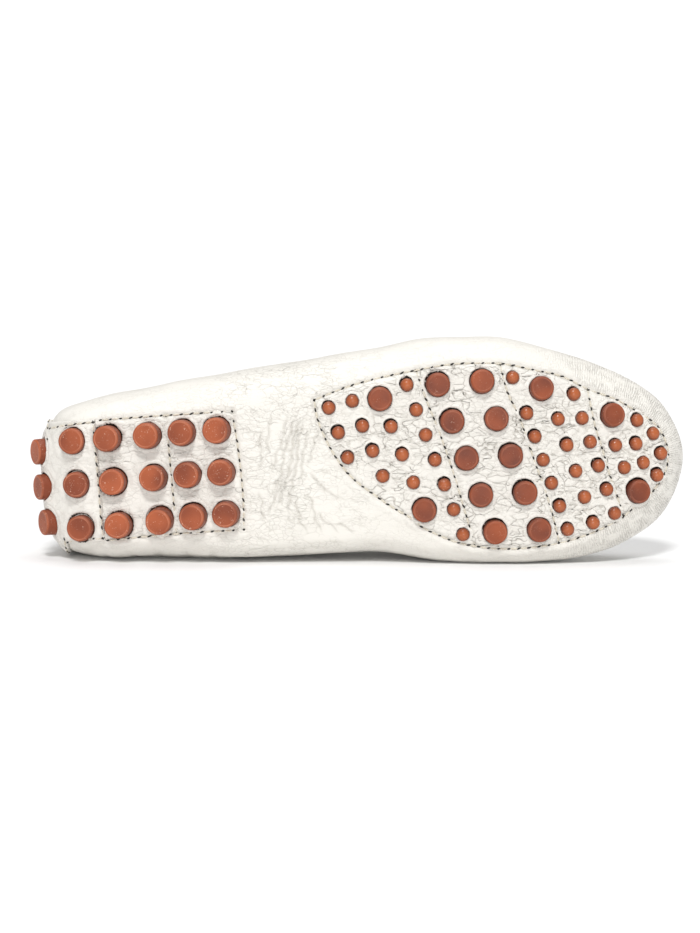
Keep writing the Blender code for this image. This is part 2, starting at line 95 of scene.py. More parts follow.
SECTIONS = (
    Section(0.143, 0.000, 0.410, 0.650, -0.070, 0.070, 0.000, 0.018, 0.917, -0.020, 0.020, 0.0),
    Section(0.155, 0.003, 0.390, 0.610, 0.255, 0.410, 0.000, 0.024, 0.908, 0.247, 0.292, 0.0),
    Section(0.171, 0.028, 0.335, 0.430, 0.525, 0.680, 0.000, 0.046, 0.883, 0.465, 0.528, 0.0),
    Section(0.190, 0.079, 0.285, 0.280, 0.625, 0.780, 0.000, 0.091, 0.842, 0.550, 0.629, 0.0),
    Section(0.222, 0.179, 0.260, 0.236, 0.650, 0.870, 0.000, 0.183, 0.792, 0.580, 0.685, 0.0),
    Section(0.298, 0.298, 0.250, 0.225, 0.696, 0.955, 0.015, 0.298, 0.775, 0.594, 0.719, 0.0),
    Section(0.417, 0.417, 0.250, 0.225, 0.705, 1.025, 0.050, 0.405, 0.833, 0.576, 0.697, 0.0),
    Section(0.516, 0.516, 0.250, 0.236, 0.710, 1.090, 0.058, 0.496, 0.917, 0.539, 0.640, 1.0),
    Section(0.627, 0.627, 0.233, 0.225, 0.835, 1.160, 0.020, 0.611, 0.775, 0.607, 0.697, 1.0),
    Section(0.742, 0.742, 0.217, 0.213, 0.890, 1.120, 0.005, 0.722, 0.650, 0.629, 0.697, 1.0),
    Section(0.825, 0.841, 0.200, 0.255, 0.860, 0.935, 0.000, 0.817, 0.575, 0.573, 0.596, 1.0),
    Section(0.877, 0.921, 0.200, 0.320, 0.740, 0.740, 0.000, 0.885, 0.533, 0.427, 0.416, 1.0),
    Section(0.909, 0.982, 0.208, 0.370, 0.490, 0.480, 0.000, 0.925, 0.517, 0.225, 0.225, 1.0),
    Section(0.921, 1.016, 0.217, 0.340, 0.000, 0.000, 0.000, 0.938, 0.508, 0.000, 0.000, 1.0),
)
THROAT = 7
WAIST = 5.9
TOE = len(SECTIONS) - 1
ROCKER = (
    (0.00, 0.092),
    (0.12, 0.058),
    (0.20, 0.033),
    (0.30, 0.012),
    (0.42, 0.000),
    (0.52, 0.003),
    (0.63, 0.008),
    (0.74, 0.025),
    (0.84, 0.067),
    (0.92, 0.125),
    (1.00, 0.200),
)
ARC_DEGREES = (0.0, 30.0, 60.0, 90.0)
GIRTH_ROW = 5.0
TOP_ROW = 7.0
RIM_ROW = 8.0
COARSE_ROWS = (0.0, 0.5, 1.0, 1.5, 2.0, 3.0, 4.0, 4.6, 5.0, 5.4, 6.0, 6.5, 7.0, 8.0)
COARSE_STEP = 0.5


def smooth_curve(knots: Points, values: Points, where: Points) -> Points:
    """Read a smooth curve through values at knots.

    Args:
        knots: Rising places of the values.
        values: One row of values per knot.
        where: Places to read.

    Returns:
        One row per place.
    """
    steps = np.diff(knots)
    chords = np.diff(values, axis=0) / steps[:, None]
    slopes = np.empty_like(values)
    slopes[0] = chords[0]
    slopes[-1] = chords[-1]
    before = steps[:-1, None]
    after = steps[1:, None]
    slopes[1:-1] = (chords[:-1] * after + chords[1:] * before) / (before + after)
    index = np.clip(np.searchsorted(knots, where, side="right") - 1, 0, len(steps) - 1)
    step = steps[index][:, None]
    share = (where - knots[index])[:, None] / step
    square = share**2
    cube = share**3
    return (
        (2 * cube - 3 * square + 1) * values[index]
        + (cube - 2 * square + share) * step * slopes[index]
        + (3 * square - 2 * cube) * values[index + 1]
        + (cube - square) * step * slopes[index + 1]
    )


def unit(vectors: Points) -> Points:
    """Vectors of length one along the last axis."""
    return vectors / np.maximum(np.linalg.norm(vectors, axis=-1, keepdims=True), TINY)


def eased(values: Points, low: float, high: float) -> Points:
    """Smooth step from 0 at low to 1 at high."""
    share = np.clip((values - low) / (high - low), 0.0, 1.0)
    return share * share * (3 - 2 * share)


def bell(values: Points, centre: float, width: float) -> Points:
    """Bell curve of height one round a centre."""
    return np.exp(-(((values - centre) / width) ** 2))


def grid_faces(columns: int, rows: int, closed: bool) -> list[tuple[int, int, int, int]]:
    """Quads of a grid of points that are stored column after column.

    Args:
        columns: Number of columns.
        rows: Points in a column.
        closed: Whether the last column joins the first.

    Returns:
        Corners of each quad, their order giving outward faces.
    """
    quads = []
    for i in range(columns if closed else columns - 1):
        after = (i + 1) % columns
        for j in range(rows - 1):
            quads.append((i * rows + j, i * rows + j + 1, after * rows + j + 1, after * rows + j))
    return quads


@dataclass
class Patch:
    """Grid of surface points with outward normals.

    Columns run round the shoe and rows from the sole's centre line to the rim.
    """

    points: Points
    normals: Points
    stations: Points
    rows: Points
    girth_run: Points
    closed: bool

    def faces(self) -> list[tuple[int, int, int, int]]:
        """Quads of the grid, their order giving outward faces."""
        return grid_faces(*self.points.shape[:2], self.closed)

    def moved(self, heights: Points) -> Points:
        """Points of the grid moved along their normals."""
        return self.points + self.normals * heights[..., None]


@dataclass
class Last:
    """Outer face of the hide on a right last, and how the shoe lies on the floor."""

    length: float = 0.252
    half_ball: float = 0.0445
    heel_height: float = 0.060
    edge_rise: float = 0.0008
    bulge: float = 0.0022
    press: float = 0.0010
    collar_edge: float = 0.0050
    lip: float = 0.0030
    lip_lean: float = 0.0004
    lie_pitch: float = 3.5
    lie_roll: float = 4.8
    matrix: Matrix = field(init=False)
    knots: Points = field(init=False)
    guides: Points = field(init=False)
    floor: Points = field(init=False)
    reach: float = field(init=False)

    def __post_init__(self) -> None:
        """Work out the guide points, the floor's direction and how far the girth reaches to it."""
        medial = np.array([self.profile(row, 1) for row in SECTIONS])
        lateral = np.array([self.profile(row, -1) for row in SECTIONS])
        girth = int(GIRTH_ROW)
        spans = [
            np.linalg.norm(np.diff(half[:, girth], axis=0), axis=1) for half in (medial, lateral)
        ]
        run = np.concatenate([[0.0], np.cumsum(sum(spans) / 2)])
        self.knots = np.concatenate([run, 2 * run[-1] - run[-2::-1]])
        self.guides = np.concatenate([medial, lateral[-2::-1]])
        turn = self.rotation()
        self.floor = np.array(turn.to_3x3().transposed() @ Vector((0, 0, -1)))
        stations = np.arange(0, TOE + 1, COARSE_STEP)
        places = np.interp(stations, np.arange(len(self.knots)), self.knots)
        flat = self.guides.reshape(len(self.guides), -1)
        columns = smooth_curve(self.knots, flat, places)
        self.reach = float((columns.reshape(-1, 3) @ self.floor).max())
        self.matrix = turn

    def rotation(self) -> Matrix:
        """Turn from standing to lying on the medial side with the sole to -Y.

        Returns:
            The turn, without any shift.
        """
        down = Matrix.Rotation(math.radians(-90), 4, "X")
        roll = Matrix.Rotation(math.radians(-self.lie_roll), 4, "X")
        pitch = Matrix.Rotation(math.radians(-self.lie_pitch), 4, "Y")
        return pitch @ roll @ down

    def settle(self, low: Vector) -> None:
        """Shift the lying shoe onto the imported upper.

        Args:
            low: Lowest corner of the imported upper's box.
        """
        coarse = self.skin(np.arange(0, 2 * TOE, COARSE_STEP), np.array(COARSE_ROWS))
        turned = coarse.reshape(-1, 3) @ np.array(self.rotation().to_3x3()).T
        shift = Matrix.Translation(low - Vector(turned.min(axis=0)))
        self.matrix = shift @ self.rotation()

    def sole_height(self, along: float) -> float:
        """Height of the sole's centre line.

        Args:
            along: Distance from the heel's back.

        Returns:
            Height over the floor of the standing shoe.
        """
        table = np.array(ROCKER)
        where = np.array([min(max(along, 0.0), self.length)])
        knots = table[:, 0] * self.length
        return float(smooth_curve(knots, table[:, 1:] * self.heel_height, where)[0, 0])

    def profile(self, row: Section, side: int) -> Points:
        """Guide points of one section.

        Args:
            row: Sizes of the section.
            side: 1 for the medial half, -1 for the lateral one.

        Returns:
            Points from the sole's centre line to the top edge.
        """
        across = row.medial if side > 0 else row.lateral
        top_across = row.top_medial if side > 0 else row.top_lateral
        centre = (row.medial - row.lateral) / 2 * self.half_ball
        spine = np.array([row.spine * self.length, centre])
        girth = np.array([row.girth_x * self.length, side * across * self.half_ball])
        outward = unit(girth - spine)
        inset = row.inset * self.half_ball
        edge = girth - inset * outward
        arch = row.arch * self.heel_height if side > 0 else 0.0
        low = self.sole_height(edge[0]) + self.edge_rise + arch
        high = self.sole_height(girth[0]) + row.girth_up * self.heel_height
        middle = (spine + edge) / 2
        points = [
            (*spine, self.sole_height(spine[0])),
            (*middle, self.sole_height(middle[0]) + arch / 2),
        ]
        for degrees in ARC_DEGREES:
            turn = math.radians(degrees)
            plan = girth - inset * (1 - math.sin(turn)) * outward
            points.append((*plan, low + (high - low) * (1 - math.cos(turn))))
        top = np.array(
            [row.top_x * self.length, side * top_across * self.half_ball, row.top_up * self.heel_height]
        )
        widest = np.array(points[-1])
        points.append((widest + top) / 2 + self.bulge * np.array([*outward, 0.0]))
        points.append(top)
        collar = top + self.collar_edge * unit(top - np.array(points[-2]))
        seam = top + np.array([*(self.lip_lean * outward), self.lip])
        points.append(collar + (seam - collar) * row.lip)
        return np.array(points)

    def skin(self, stations: Points, rows: Points) -> Points:
        """Outer face of the hide.

        Args:
            stations: Sections round the shoe, 0 at the heel, TOE at the toe along the medial
                side, and back below zero along the lateral side.
            rows: Guide points from the sole's centre line to the rim.

        Returns:
            Grid of points, one column per station.
        """
        turn = self.knots[-1]
        knots = np.concatenate([self.knots[-4:-1] - turn, self.knots, self.knots[1:4] + turn])
        guides = np.concatenate([self.guides[-4:-1], self.guides, self.guides[1:4]])
        stations = np.asarray(stations, float) % (2 * TOE)
        places = np.interp(stations, np.arange(2 * TOE + 1), self.knots)
        columns = smooth_curve(knots, guides.reshape(len(guides), -1), places)
        columns = columns.reshape(len(stations), -1, 3)
        grid = np.empty((len(stations), len(rows), 3))
        for column, marks in zip(grid, columns):
            body = marks[: int(TOP_ROW) + 1]
            steps = np.linalg.norm(np.diff(body, axis=0), axis=1)
            length = np.concatenate([[0.0], np.cumsum(steps)])
            at = np.interp(np.minimum(rows, TOP_ROW), np.arange(len(body)), length)
            column[:] = smooth_curve(length, body, at)
            over = np.clip(rows - TOP_ROW, 0.0, 1.0)[:, None]
            column += over * (marks[-1] - marks[-2])
        return self.pressed(grid)

    def pressed(self, grid: Points) -> Points:
        """Flatten what would pass the floor."""
        over = grid @ self.floor - (self.reach - self.press)
        return grid - np.maximum(over, 0.0)[..., None] * self.floor

    def even_stations(self, count: int, crowd: float = 0.0) -> Points:
        """Stations at even steps round the girth, the same on both sides.

        Args:
            count: How many.
            crowd: How much closer together they stand over the creased waist.

        Returns:
            The stations.
        """
        fine = np.linspace(0.0, self.knots[-1], 8001)
        stations = np.interp(fine, self.knots, np.arange(2 * TOE + 1))
        from_heel = np.abs((stations + TOE) % (2 * TOE) - TOE)
        weight = 1 + crowd * bell(from_heel, WAIST, 1.1)
        sums = np.concatenate([[0.0], np.cumsum((weight[1:] + weight[:-1]) / 2)])
        return np.interp(np.arange(count) * sums[-1] / count, sums, stations)

    def patch(self, stations: Points, rows: Points, closed: bool) -> Patch:
        """Grid of the hide's outer face with its normals.

        Args:
            stations: Columns of the grid.
            rows: Rows of the grid.
            closed: Whether the last column meets the first.

        Returns:
            The patch, its normals outward.
        """
        points = self.skin(stations, rows)
        if closed:
            along = np.roll(points, -1, axis=0) - np.roll(points, 1, axis=0)
        else:
            along = np.gradient(points, axis=0)
        normals = -unit(np.cross(along, np.gradient(points, axis=1)))
        if closed and rows[0] == 0.0:
            twin = (-np.arange(len(stations))) % len(stations)
            normals[:, 0] = unit(normals[:, 1] + normals[twin, 1])
        elif rows[0] == 0.0:
            normals[:, 0] = normals[:, 1]
        run = np.interp(stations % (2 * TOE), np.arange(2 * TOE + 1), self.knots)
        return Patch(points, normals, stations, rows, run, closed)

    def coarse_tree(self) -> BVHTree:
        """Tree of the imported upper's own facets, on which the studs stand.

        Returns:
            Tree in the standing shoe's frame.
        """
        grid = self.skin(np.arange(0, 2 * TOE, COARSE_STEP), np.array(COARSE_ROWS))
        faces = grid_faces(*grid.shape[:2], True)
        return BVHTree.FromPolygons([Vector(point) for point in grid.reshape(-1, 3)], faces)


class StudKind(Enum):
    """Moulded stud shapes: domes, broad low discs and the heel's tall discs."""

    DOME = "s"
    BROAD = "L"
    TALL = "f"


class StudRow(NamedTuple):
    """Row of studs between two places given in shares of length and half ball.

    A blank among the kinds keeps a place free. A leaning row stands along its own direction.
    """

    kinds: str
    along: float
    across: float
    along_end: float
    across_end: float
    lean: float = 0.0


FORE_ROWS = (
    StudRow("sss", 0.456, -0.591, 0.481, -0.146),
    StudRow("ssss", 0.493, -0.640, 0.534, 0.034),
    StudRow("LsssL", 0.536, -0.645, 0.596, 0.355),
    StudRow("sssssss", 0.579, -0.753, 0.654, 0.589),
    StudRow("LLLLL", 0.627, -0.742, 0.704, 0.582),
    StudRow("LLLLL", 0.696, -0.746, 0.773, 0.587),
    StudRow("s", 0.744, -0.766, 0.744, -0.766),
    StudRow("ssssss", 0.763, -0.445, 0.818, 0.600),
    StudRow("L", 0.788, -0.656, 0.788, -0.656),
    StudRow("sssss", 0.812, -0.378, 0.859, 0.557),
    StudRow("ssssss", 0.839, -0.589, 0.894, 0.483),
    StudRow("L  L", 0.898, -0.384, 0.933, 0.303),
    StudRow("ss", 0.901, -0.117, 0.913, 0.085),
    StudRow("s", 0.938, -0.326, 0.938, -0.326),
    StudRow("ss", 0.934, -0.117, 0.944, 0.052),
    StudRow("s s", 0.963, -0.200, 0.966, 0.172),
    StudRow("s", 0.974, -0.018, 0.974, -0.018),
)
HEEL_ROWS = (
    StudRow("fff", 0.0640, -0.342, 0.0940, 0.290, 62.0),
    StudRow("fff", 0.0722, -0.425, 0.0774, 0.346, 10.0),
    StudRow("fff", 0.1251, -0.431, 0.1350, 0.337, 8.0),
    StudRow("fff", 0.1714, -0.436, 0.1829, 0.312),
    StudRow("fff", 0.2250, -0.445, 0.2349, 0.297),
    StudRow("fff", 0.2790, -0.449, 0.2857, 0.290),
)
FREE = " "
TAB_ROWS = 3
HEEL_ROUND = 0.0295
HEEL_TILT = 7.0
HEEL_HEAD = 0.0055


class Stud(NamedTuple):
    """One stud: its kind and the matrix that stands it on the hide."""

    kind: StudKind
    matrix: Matrix


@dataclass
class StudShape:
    """Turned half outlines of the studs, in metres."""

    radius: dict[StudKind, float] = field(
        default_factory=lambda: {
            StudKind.DOME: 0.0026,
            StudKind.BROAD: 0.0048,
            StudKind.TALL: 0.0052,
        }
    )
    height: dict[StudKind, float] = field(
        default_factory=lambda: {
            StudKind.DOME: 0.0028,
            StudKind.BROAD: 0.0032,
            StudKind.TALL: 0.0055,
        }
    )
    root: float = -0.0029
    dome_sides: int = 28
    disc_sides: int = 48
    dome_wall: float = 0.36
    dome_steps: int = 9
    bevel: float = 0.00075
    bevel_steps: int = 4
    draft: float = 0.00012
    crown: float = 0.00012
    crown_steps: int = 3

    def outline(self, kind: StudKind) -> list[tuple[float, float, float]]:
        """Half outline of a stud.

        Args:
            kind: Which stud.

        Returns:
            Radius, height and rim share from the root to the crown; the rim share is 1 on the worn edge,
            which the finish paints lighter, partly as a painted highlight.
        """
        radius = self.radius[kind]
        height = self.height[kind]
        marks = [(radius * 0.98, self.root, 0.0), (radius, 0.0, 0.0)]
        if kind is StudKind.DOME:
            wall = height * self.dome_wall
            for step in range(self.dome_steps + 1):
                turn = math.radians(90 * step / self.dome_steps)
                marks.append(
                    (radius * math.cos(turn), wall + (height - wall) * math.sin(turn), 0.0)
                )
            return marks
        top = radius - self.draft
        marks.append((top, height - self.bevel, 0.0))
        for step in range(1, self.bevel_steps + 1):
            turn = math.radians(90 * step / self.bevel_steps)
            inward = self.bevel * (1 - math.cos(turn))
            upward = self.bevel * math.sin(turn)
            marks.append((top - inward, height - self.bevel + upward, 0.35 * math.sin(turn)))
        flat = top - self.bevel
        marks.append((flat - 0.00012, height + 0.00001, 1.0))
        marks.append((flat - 0.00030, height - 0.00002, 0.0))
        flat -= 0.00036
        for step in range(1, self.crown_steps + 1):
            share = step / self.crown_steps
            marks.append((flat * (1 - share), height + self.crown * share * (2 - share), 0.0))
        return marks


class StudPlan:
    """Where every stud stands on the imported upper."""

    def __init__(self, last: Last) -> None:
        """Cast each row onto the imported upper's facets.

        Args:
            last: The last that the shoe is built on.
        """
        self.last = last
        self.tree = last.coarse_tree()
        self.fore = list(self.places(FORE_ROWS))
        self.heel = list(self.places(HEEL_ROWS))
        self.tabbed = list(self.places(HEEL_ROWS[:TAB_ROWS]))

    def places(self, rows: Sequence[StudRow]) -> Iterator[Stud]:
        """Stand the studs of some rows.

        Args:
            rows: The rows.

        Yields:
            Each stud in turn.
        """
        for row in rows:
            for index, letter in enumerate(row.kinds):
                if letter == FREE:
                    continue
                share = index / max(len(row.kinds) - 1, 1)
                x = (row.along + (row.along_end - row.along) * share) * self.last.length
                y = (row.across + (row.across_end - row.across) * share) * self.last.half_ball
                lean = math.radians(row.lean)
                aim = Vector((x, y, HEEL_ROUND if row.lean else 0.0))
                look = Vector((math.sin(lean), 0, math.cos(lean)))
                foot, normal, _, _ = self.tree.ray_cast(aim - look * FAR, look)
                axis = -look if row.lean else normal
                if axis.dot(look) > 0:
                    axis = -axis
                turn = axis.to_track_quat("Z", "Y").to_matrix().to_4x4()
                if letter == StudKind.TALL.value and not row.lean:
                    head = foot + axis * HEEL_HEAD
                    turn = Matrix.Rotation(math.radians(HEEL_TILT), 4, "Y") @ turn
                    foot = head - turn.to_3x3() @ Vector((0, 0, HEEL_HEAD))
                yield Stud(StudKind(letter), Matrix.Translation(foot) @ turn)


def smooth_run(marks: Sequence[Place], step: float, closed: bool = False) -> Points:
    """Even places on a smooth line through marks.

    Args:
        marks: Places in millimetres.
        step: Distance between places, in metres.
        closed: Whether the line comes back to its first mark.

    Returns:
        Places in metres.
    """
    table = np.array(marks, float) * MM
    if closed:
        table = np.concatenate([table, table[:1]])
    steps = np.linalg.norm(np.diff(table, axis=0), axis=1)
    knots = np.concatenate([[0.0], np.cumsum(steps)])
    if len(table) < 3:
        fine = np.linspace(0.0, knots[-1], 9)
        curve = table[0] + (table[1] - table[0]) * (fine / knots[-1])[:, None]
    else:
        fine = np.linspace(0.0, knots[-1], 16 * len(table))
        curve = smooth_curve(knots, table, fine)
    lengths = np.concatenate([[0.0], np.cumsum(np.linalg.norm(np.diff(curve, axis=0), axis=1))])
    count = max(1, round(lengths[-1] / step))
    where = np.linspace(0.0, lengths[-1], count + 1)
    return np.stack([np.interp(where, lengths, curve[:, k]) for k in range(2)], axis=1)


def run_distance(places: Points, run: Points) -> tuple[Points, Points]:
    """Distance to a run.

    Args:
        places: Plan places.
        run: Corners of the run.

    Returns:
        Distance of each place to the run, and how far along the run its nearest point is.
    """
    best = np.full(len(places), np.inf)
    along = np.zeros(len(places))
    start = 0.0
    for first, second in zip(run, run[1:]):
        step = second - first
        length = max(float(np.linalg.norm(step)), TINY)
        share = np.clip((places - first) @ step / length**2, 0.0, 1.0)
        gap = np.linalg.norm(places - first - share[:, None] * step, axis=1)
        closer = gap < best
        best[closer] = gap[closer]
        along[closer] = (start + share * length)[closer]
        start += length
    return best, along


def inside(places: Points, outline: Points) -> NDArray[np.bool_]:
    """Whether plan places lie within an outline.

    Args:
        places: Places in plan.
        outline: Corners of the outline in order.

    Returns:
        One truth value per place.
    """
    result = np.zeros(len(places), bool)
    x, y = places[:, 0], places[:, 1]
    for (ax, ay), (bx, by) in zip(outline, np.roll(outline, -1, axis=0)):
        crosses = (ay > y) != (by > y)
        slope = (bx - ax) / (by - ay if abs(by - ay) > TINY else TINY)
        result ^= crosses & (x < ax + (y - ay) * slope)
    return result


class Crease(NamedTuple):
    """Soft trough worked into the hide: half width, depth and run in millimetres."""

    width: float
    depth: float
    run: tuple[Place, ...]


FORE_SEAM = (
    (109.4, -29.7), (124, -34.5), (137, -37.2), (151, -39.2), (164, -40.7), (175, -40.5),
    (183, -39.9), (196, -36.7), (208, -33.3), (217, -28.0), (228, -23.5), (236, -18.6),
    (245.0, -11.5), (248.0, -5.7), (248.2, 4.0), (243.3, 12.2), (240, 15.7), (234, 19.5),
    (230, 22.7), (221, 27.0), (212, 30.0), (203, 32.0), (194, 32.9), (181, 33.0), (169, 31.1),
    (160, 28.4), (154, 25.4), (150, 23.4), (145, 18.8), (137, 13.6), (130.5, 8.5), (122, 1.0),
    (114.4, -11.1), (111.3, -18.7), (109.9, -24.0),
)
FORE_BARS = (
    ((149.8, -39.1), (152.7, -28.9), (158.1, -13), (162, 0.9), (165.5, 14.7), (169.3, 30.9)),
    (
        (182.9, -39.6), (185.1, -29), (189.2, -19), (193.8, -3.2), (198, 10.7), (200.9, 22.5),
        (202.7, 32.0),
    ),
    ((217.3, -28), (219, -15.4), (222.2, -2.8), (225, 9.1), (227.3, 16.2), (228.9, 22.5)),
)
HEEL_SEAMS = (
    ((25.2, -26.5), (48.2, -26.9), (77.1, -27.1)),
    ((77.1, -27.1), (78.7, -10.9), (79.5, 6.4), (79.1, 19.5)),
    ((79.1, 19.5), (52.7, 19.6), (25.4, 20.8)),
    ((51.0, -26.8), (51.9, -4.0), (52.6, 19.6)),
)
TAB_SEAMS = (
    ((4.2, -24.2), (12.0, -25.2), (22.4, -25.8)),
    ((22.4, -25.8), (23.0, -4.0), (23.6, 19.8)),
    ((23.6, 19.8), (11.5, 20.2), (9.0, 21.0)),
)
CREASES = (
    Crease(
        0.46, 0.50,
        (
            (109.0, -27.2), (105.1, -23.2), (102.1, -19.0), (100.1, -13.3), (99.3, -7.5),
            (97.5, -0.8), (95.2, 4.9), (92.9, 10.6), (91.0, 15.2),
        ),
    ),
    Crease(
        0.46, 0.44,
        (
            (103.8, -27.2), (101.1, -23.0), (99.4, -17.2), (97.1, -11.5),
            (95.9, -6.7), (94.6, -0.9), (91.8, 4.7), (89.6, 9.5),
        ),
    ),
    Crease(
        0.46, 0.46,
        (
            (107.3, -25.5), (104.4, -19.9), (102.1, -13.2), (101.4, -6.4),
            (99.3, 1.3), (98.0, 7.0), (96.7, 13.8), (96.1, 18.6),
        ),
    ),
    Crease(
        0.42, 0.34,
        (
            (99.9, -26.4), (97.6, -21.2), (96.3, -15.4),
            (93.6, -9.8), (92.3, -5.0), (90.1, 0.8),
        ),
    ),
    Crease(0.42, 0.36, ((96.6, -2.8), (94.3, 2.9), (92.1, 7.7), (89.4, 12.4), (88.1, 15.4))),
    Crease(0.42, 0.30, ((105.9, -20.7), (105.6, -14.9), (103.7, -8.2), (102.8, -0.5), (100.7, 5.2))),
    Crease(0.40, 0.24, ((110.7, -19.5), (109.0, -14.7), (106.9, -8.0), (104.9, -3.3))),
    Crease(0.42, 0.32, ((104.9, -2.3), (108.5, 1.8), (110.8, 4.6), (114.0, 7.4), (118.3, 10.1))),
    Crease(0.42, 0.34, ((99.9, 8.1), (100.6, 13.0), (101.7, 18.9), (104.9, 23.2))),
    Crease(0.42, 0.34, ((104.4, 5.4), (106.1, 9.4), (106.8, 14.3), (108.0, 19.3), (110.7, 23.8))),
    Crease(0.40, 0.28, ((107.9, 13.4), (110.6, 17.5), (113.3, 20.1), (117.1, 23.2))),
    Crease(0.40, 0.26, ((115.4, 18.7), (119.1, 21.4), (123.9, 23.1))),
    Crease(0.40, 0.24, ((88.4, -20.8), (87.3, -15.0), (87.5, -8.2), (86.1, -1.4))),
    Crease(0.40, 0.24, ((92.5, -25.4), (91.2, -19.6), (89.9, -13.9), (90.6, -8.9))),
    Crease(0.40, 0.26, ((85.0, 4.4), (86.7, 8.4), (86.3, 13.2), (87.2, 18.1))),
    Crease(0.38, 0.22, ((93.8, -12.7), (97.0, -10.5), (100.5, -10.8))),
    Crease(0.38, 0.22, ((92.3, -4.0), (95.6, -2.1), (99.0, -2.6))),
    Crease(0.38, 0.22, ((94.7, 5.9), (98.0, 8.0), (101.4, 7.2))),
)
CREASE_SWAY = 0.00032
CREASE_BEAT = 0.00085
LINK_NEAR = 0.0080
LINK_FAR = 0.0135
LINK_CREASE = (0.55, 0.20)
LINK_CLEAR = 0.0006
LINK_BOW = 0.09
FORE_OUTLINE = (
    (0.434, -0.667),
    (0.492, -0.775),
    (0.544, -0.836),
    (0.599, -0.881),
    (0.651, -0.915),
    (0.726, -0.897),
    (0.778, -0.825),
    (0.825, -0.748),
    (0.861, -0.629),
    (0.937, -0.418),
    (0.975, -0.280),
    (0.986, -0.010),
    (0.972, 0.274),
    (0.929, 0.438),
    (0.877, 0.607),
    (0.806, 0.719),
    (0.718, 0.742),
    (0.635, 0.638),
    (0.595, 0.526),
    (0.544, 0.306),
    (0.484, 0.022),
    (0.442, -0.420),
)
HEEL_OUTLINE = (
    (-0.040, -0.600),
    (0.306, -0.609),
    (0.315, 0.144),
    (0.314, 0.438),
    (0.046, 0.470),
    (-0.040, 0.470),
)
TAB_OUTLINE = (
    (-0.060, -0.900),
    (0.018, -0.900),
    (0.018, -0.600),
    (0.093, -0.605),
    (0.098, 0.470),
    (0.037, 0.480),
    (0.037, 0.900),
    (-0.060, 0.900),
)
TAB_TOP = 0.0500
HEEL_SHEET_TOP = 0.0245
FORE_SHEET_TOP = 0.0205


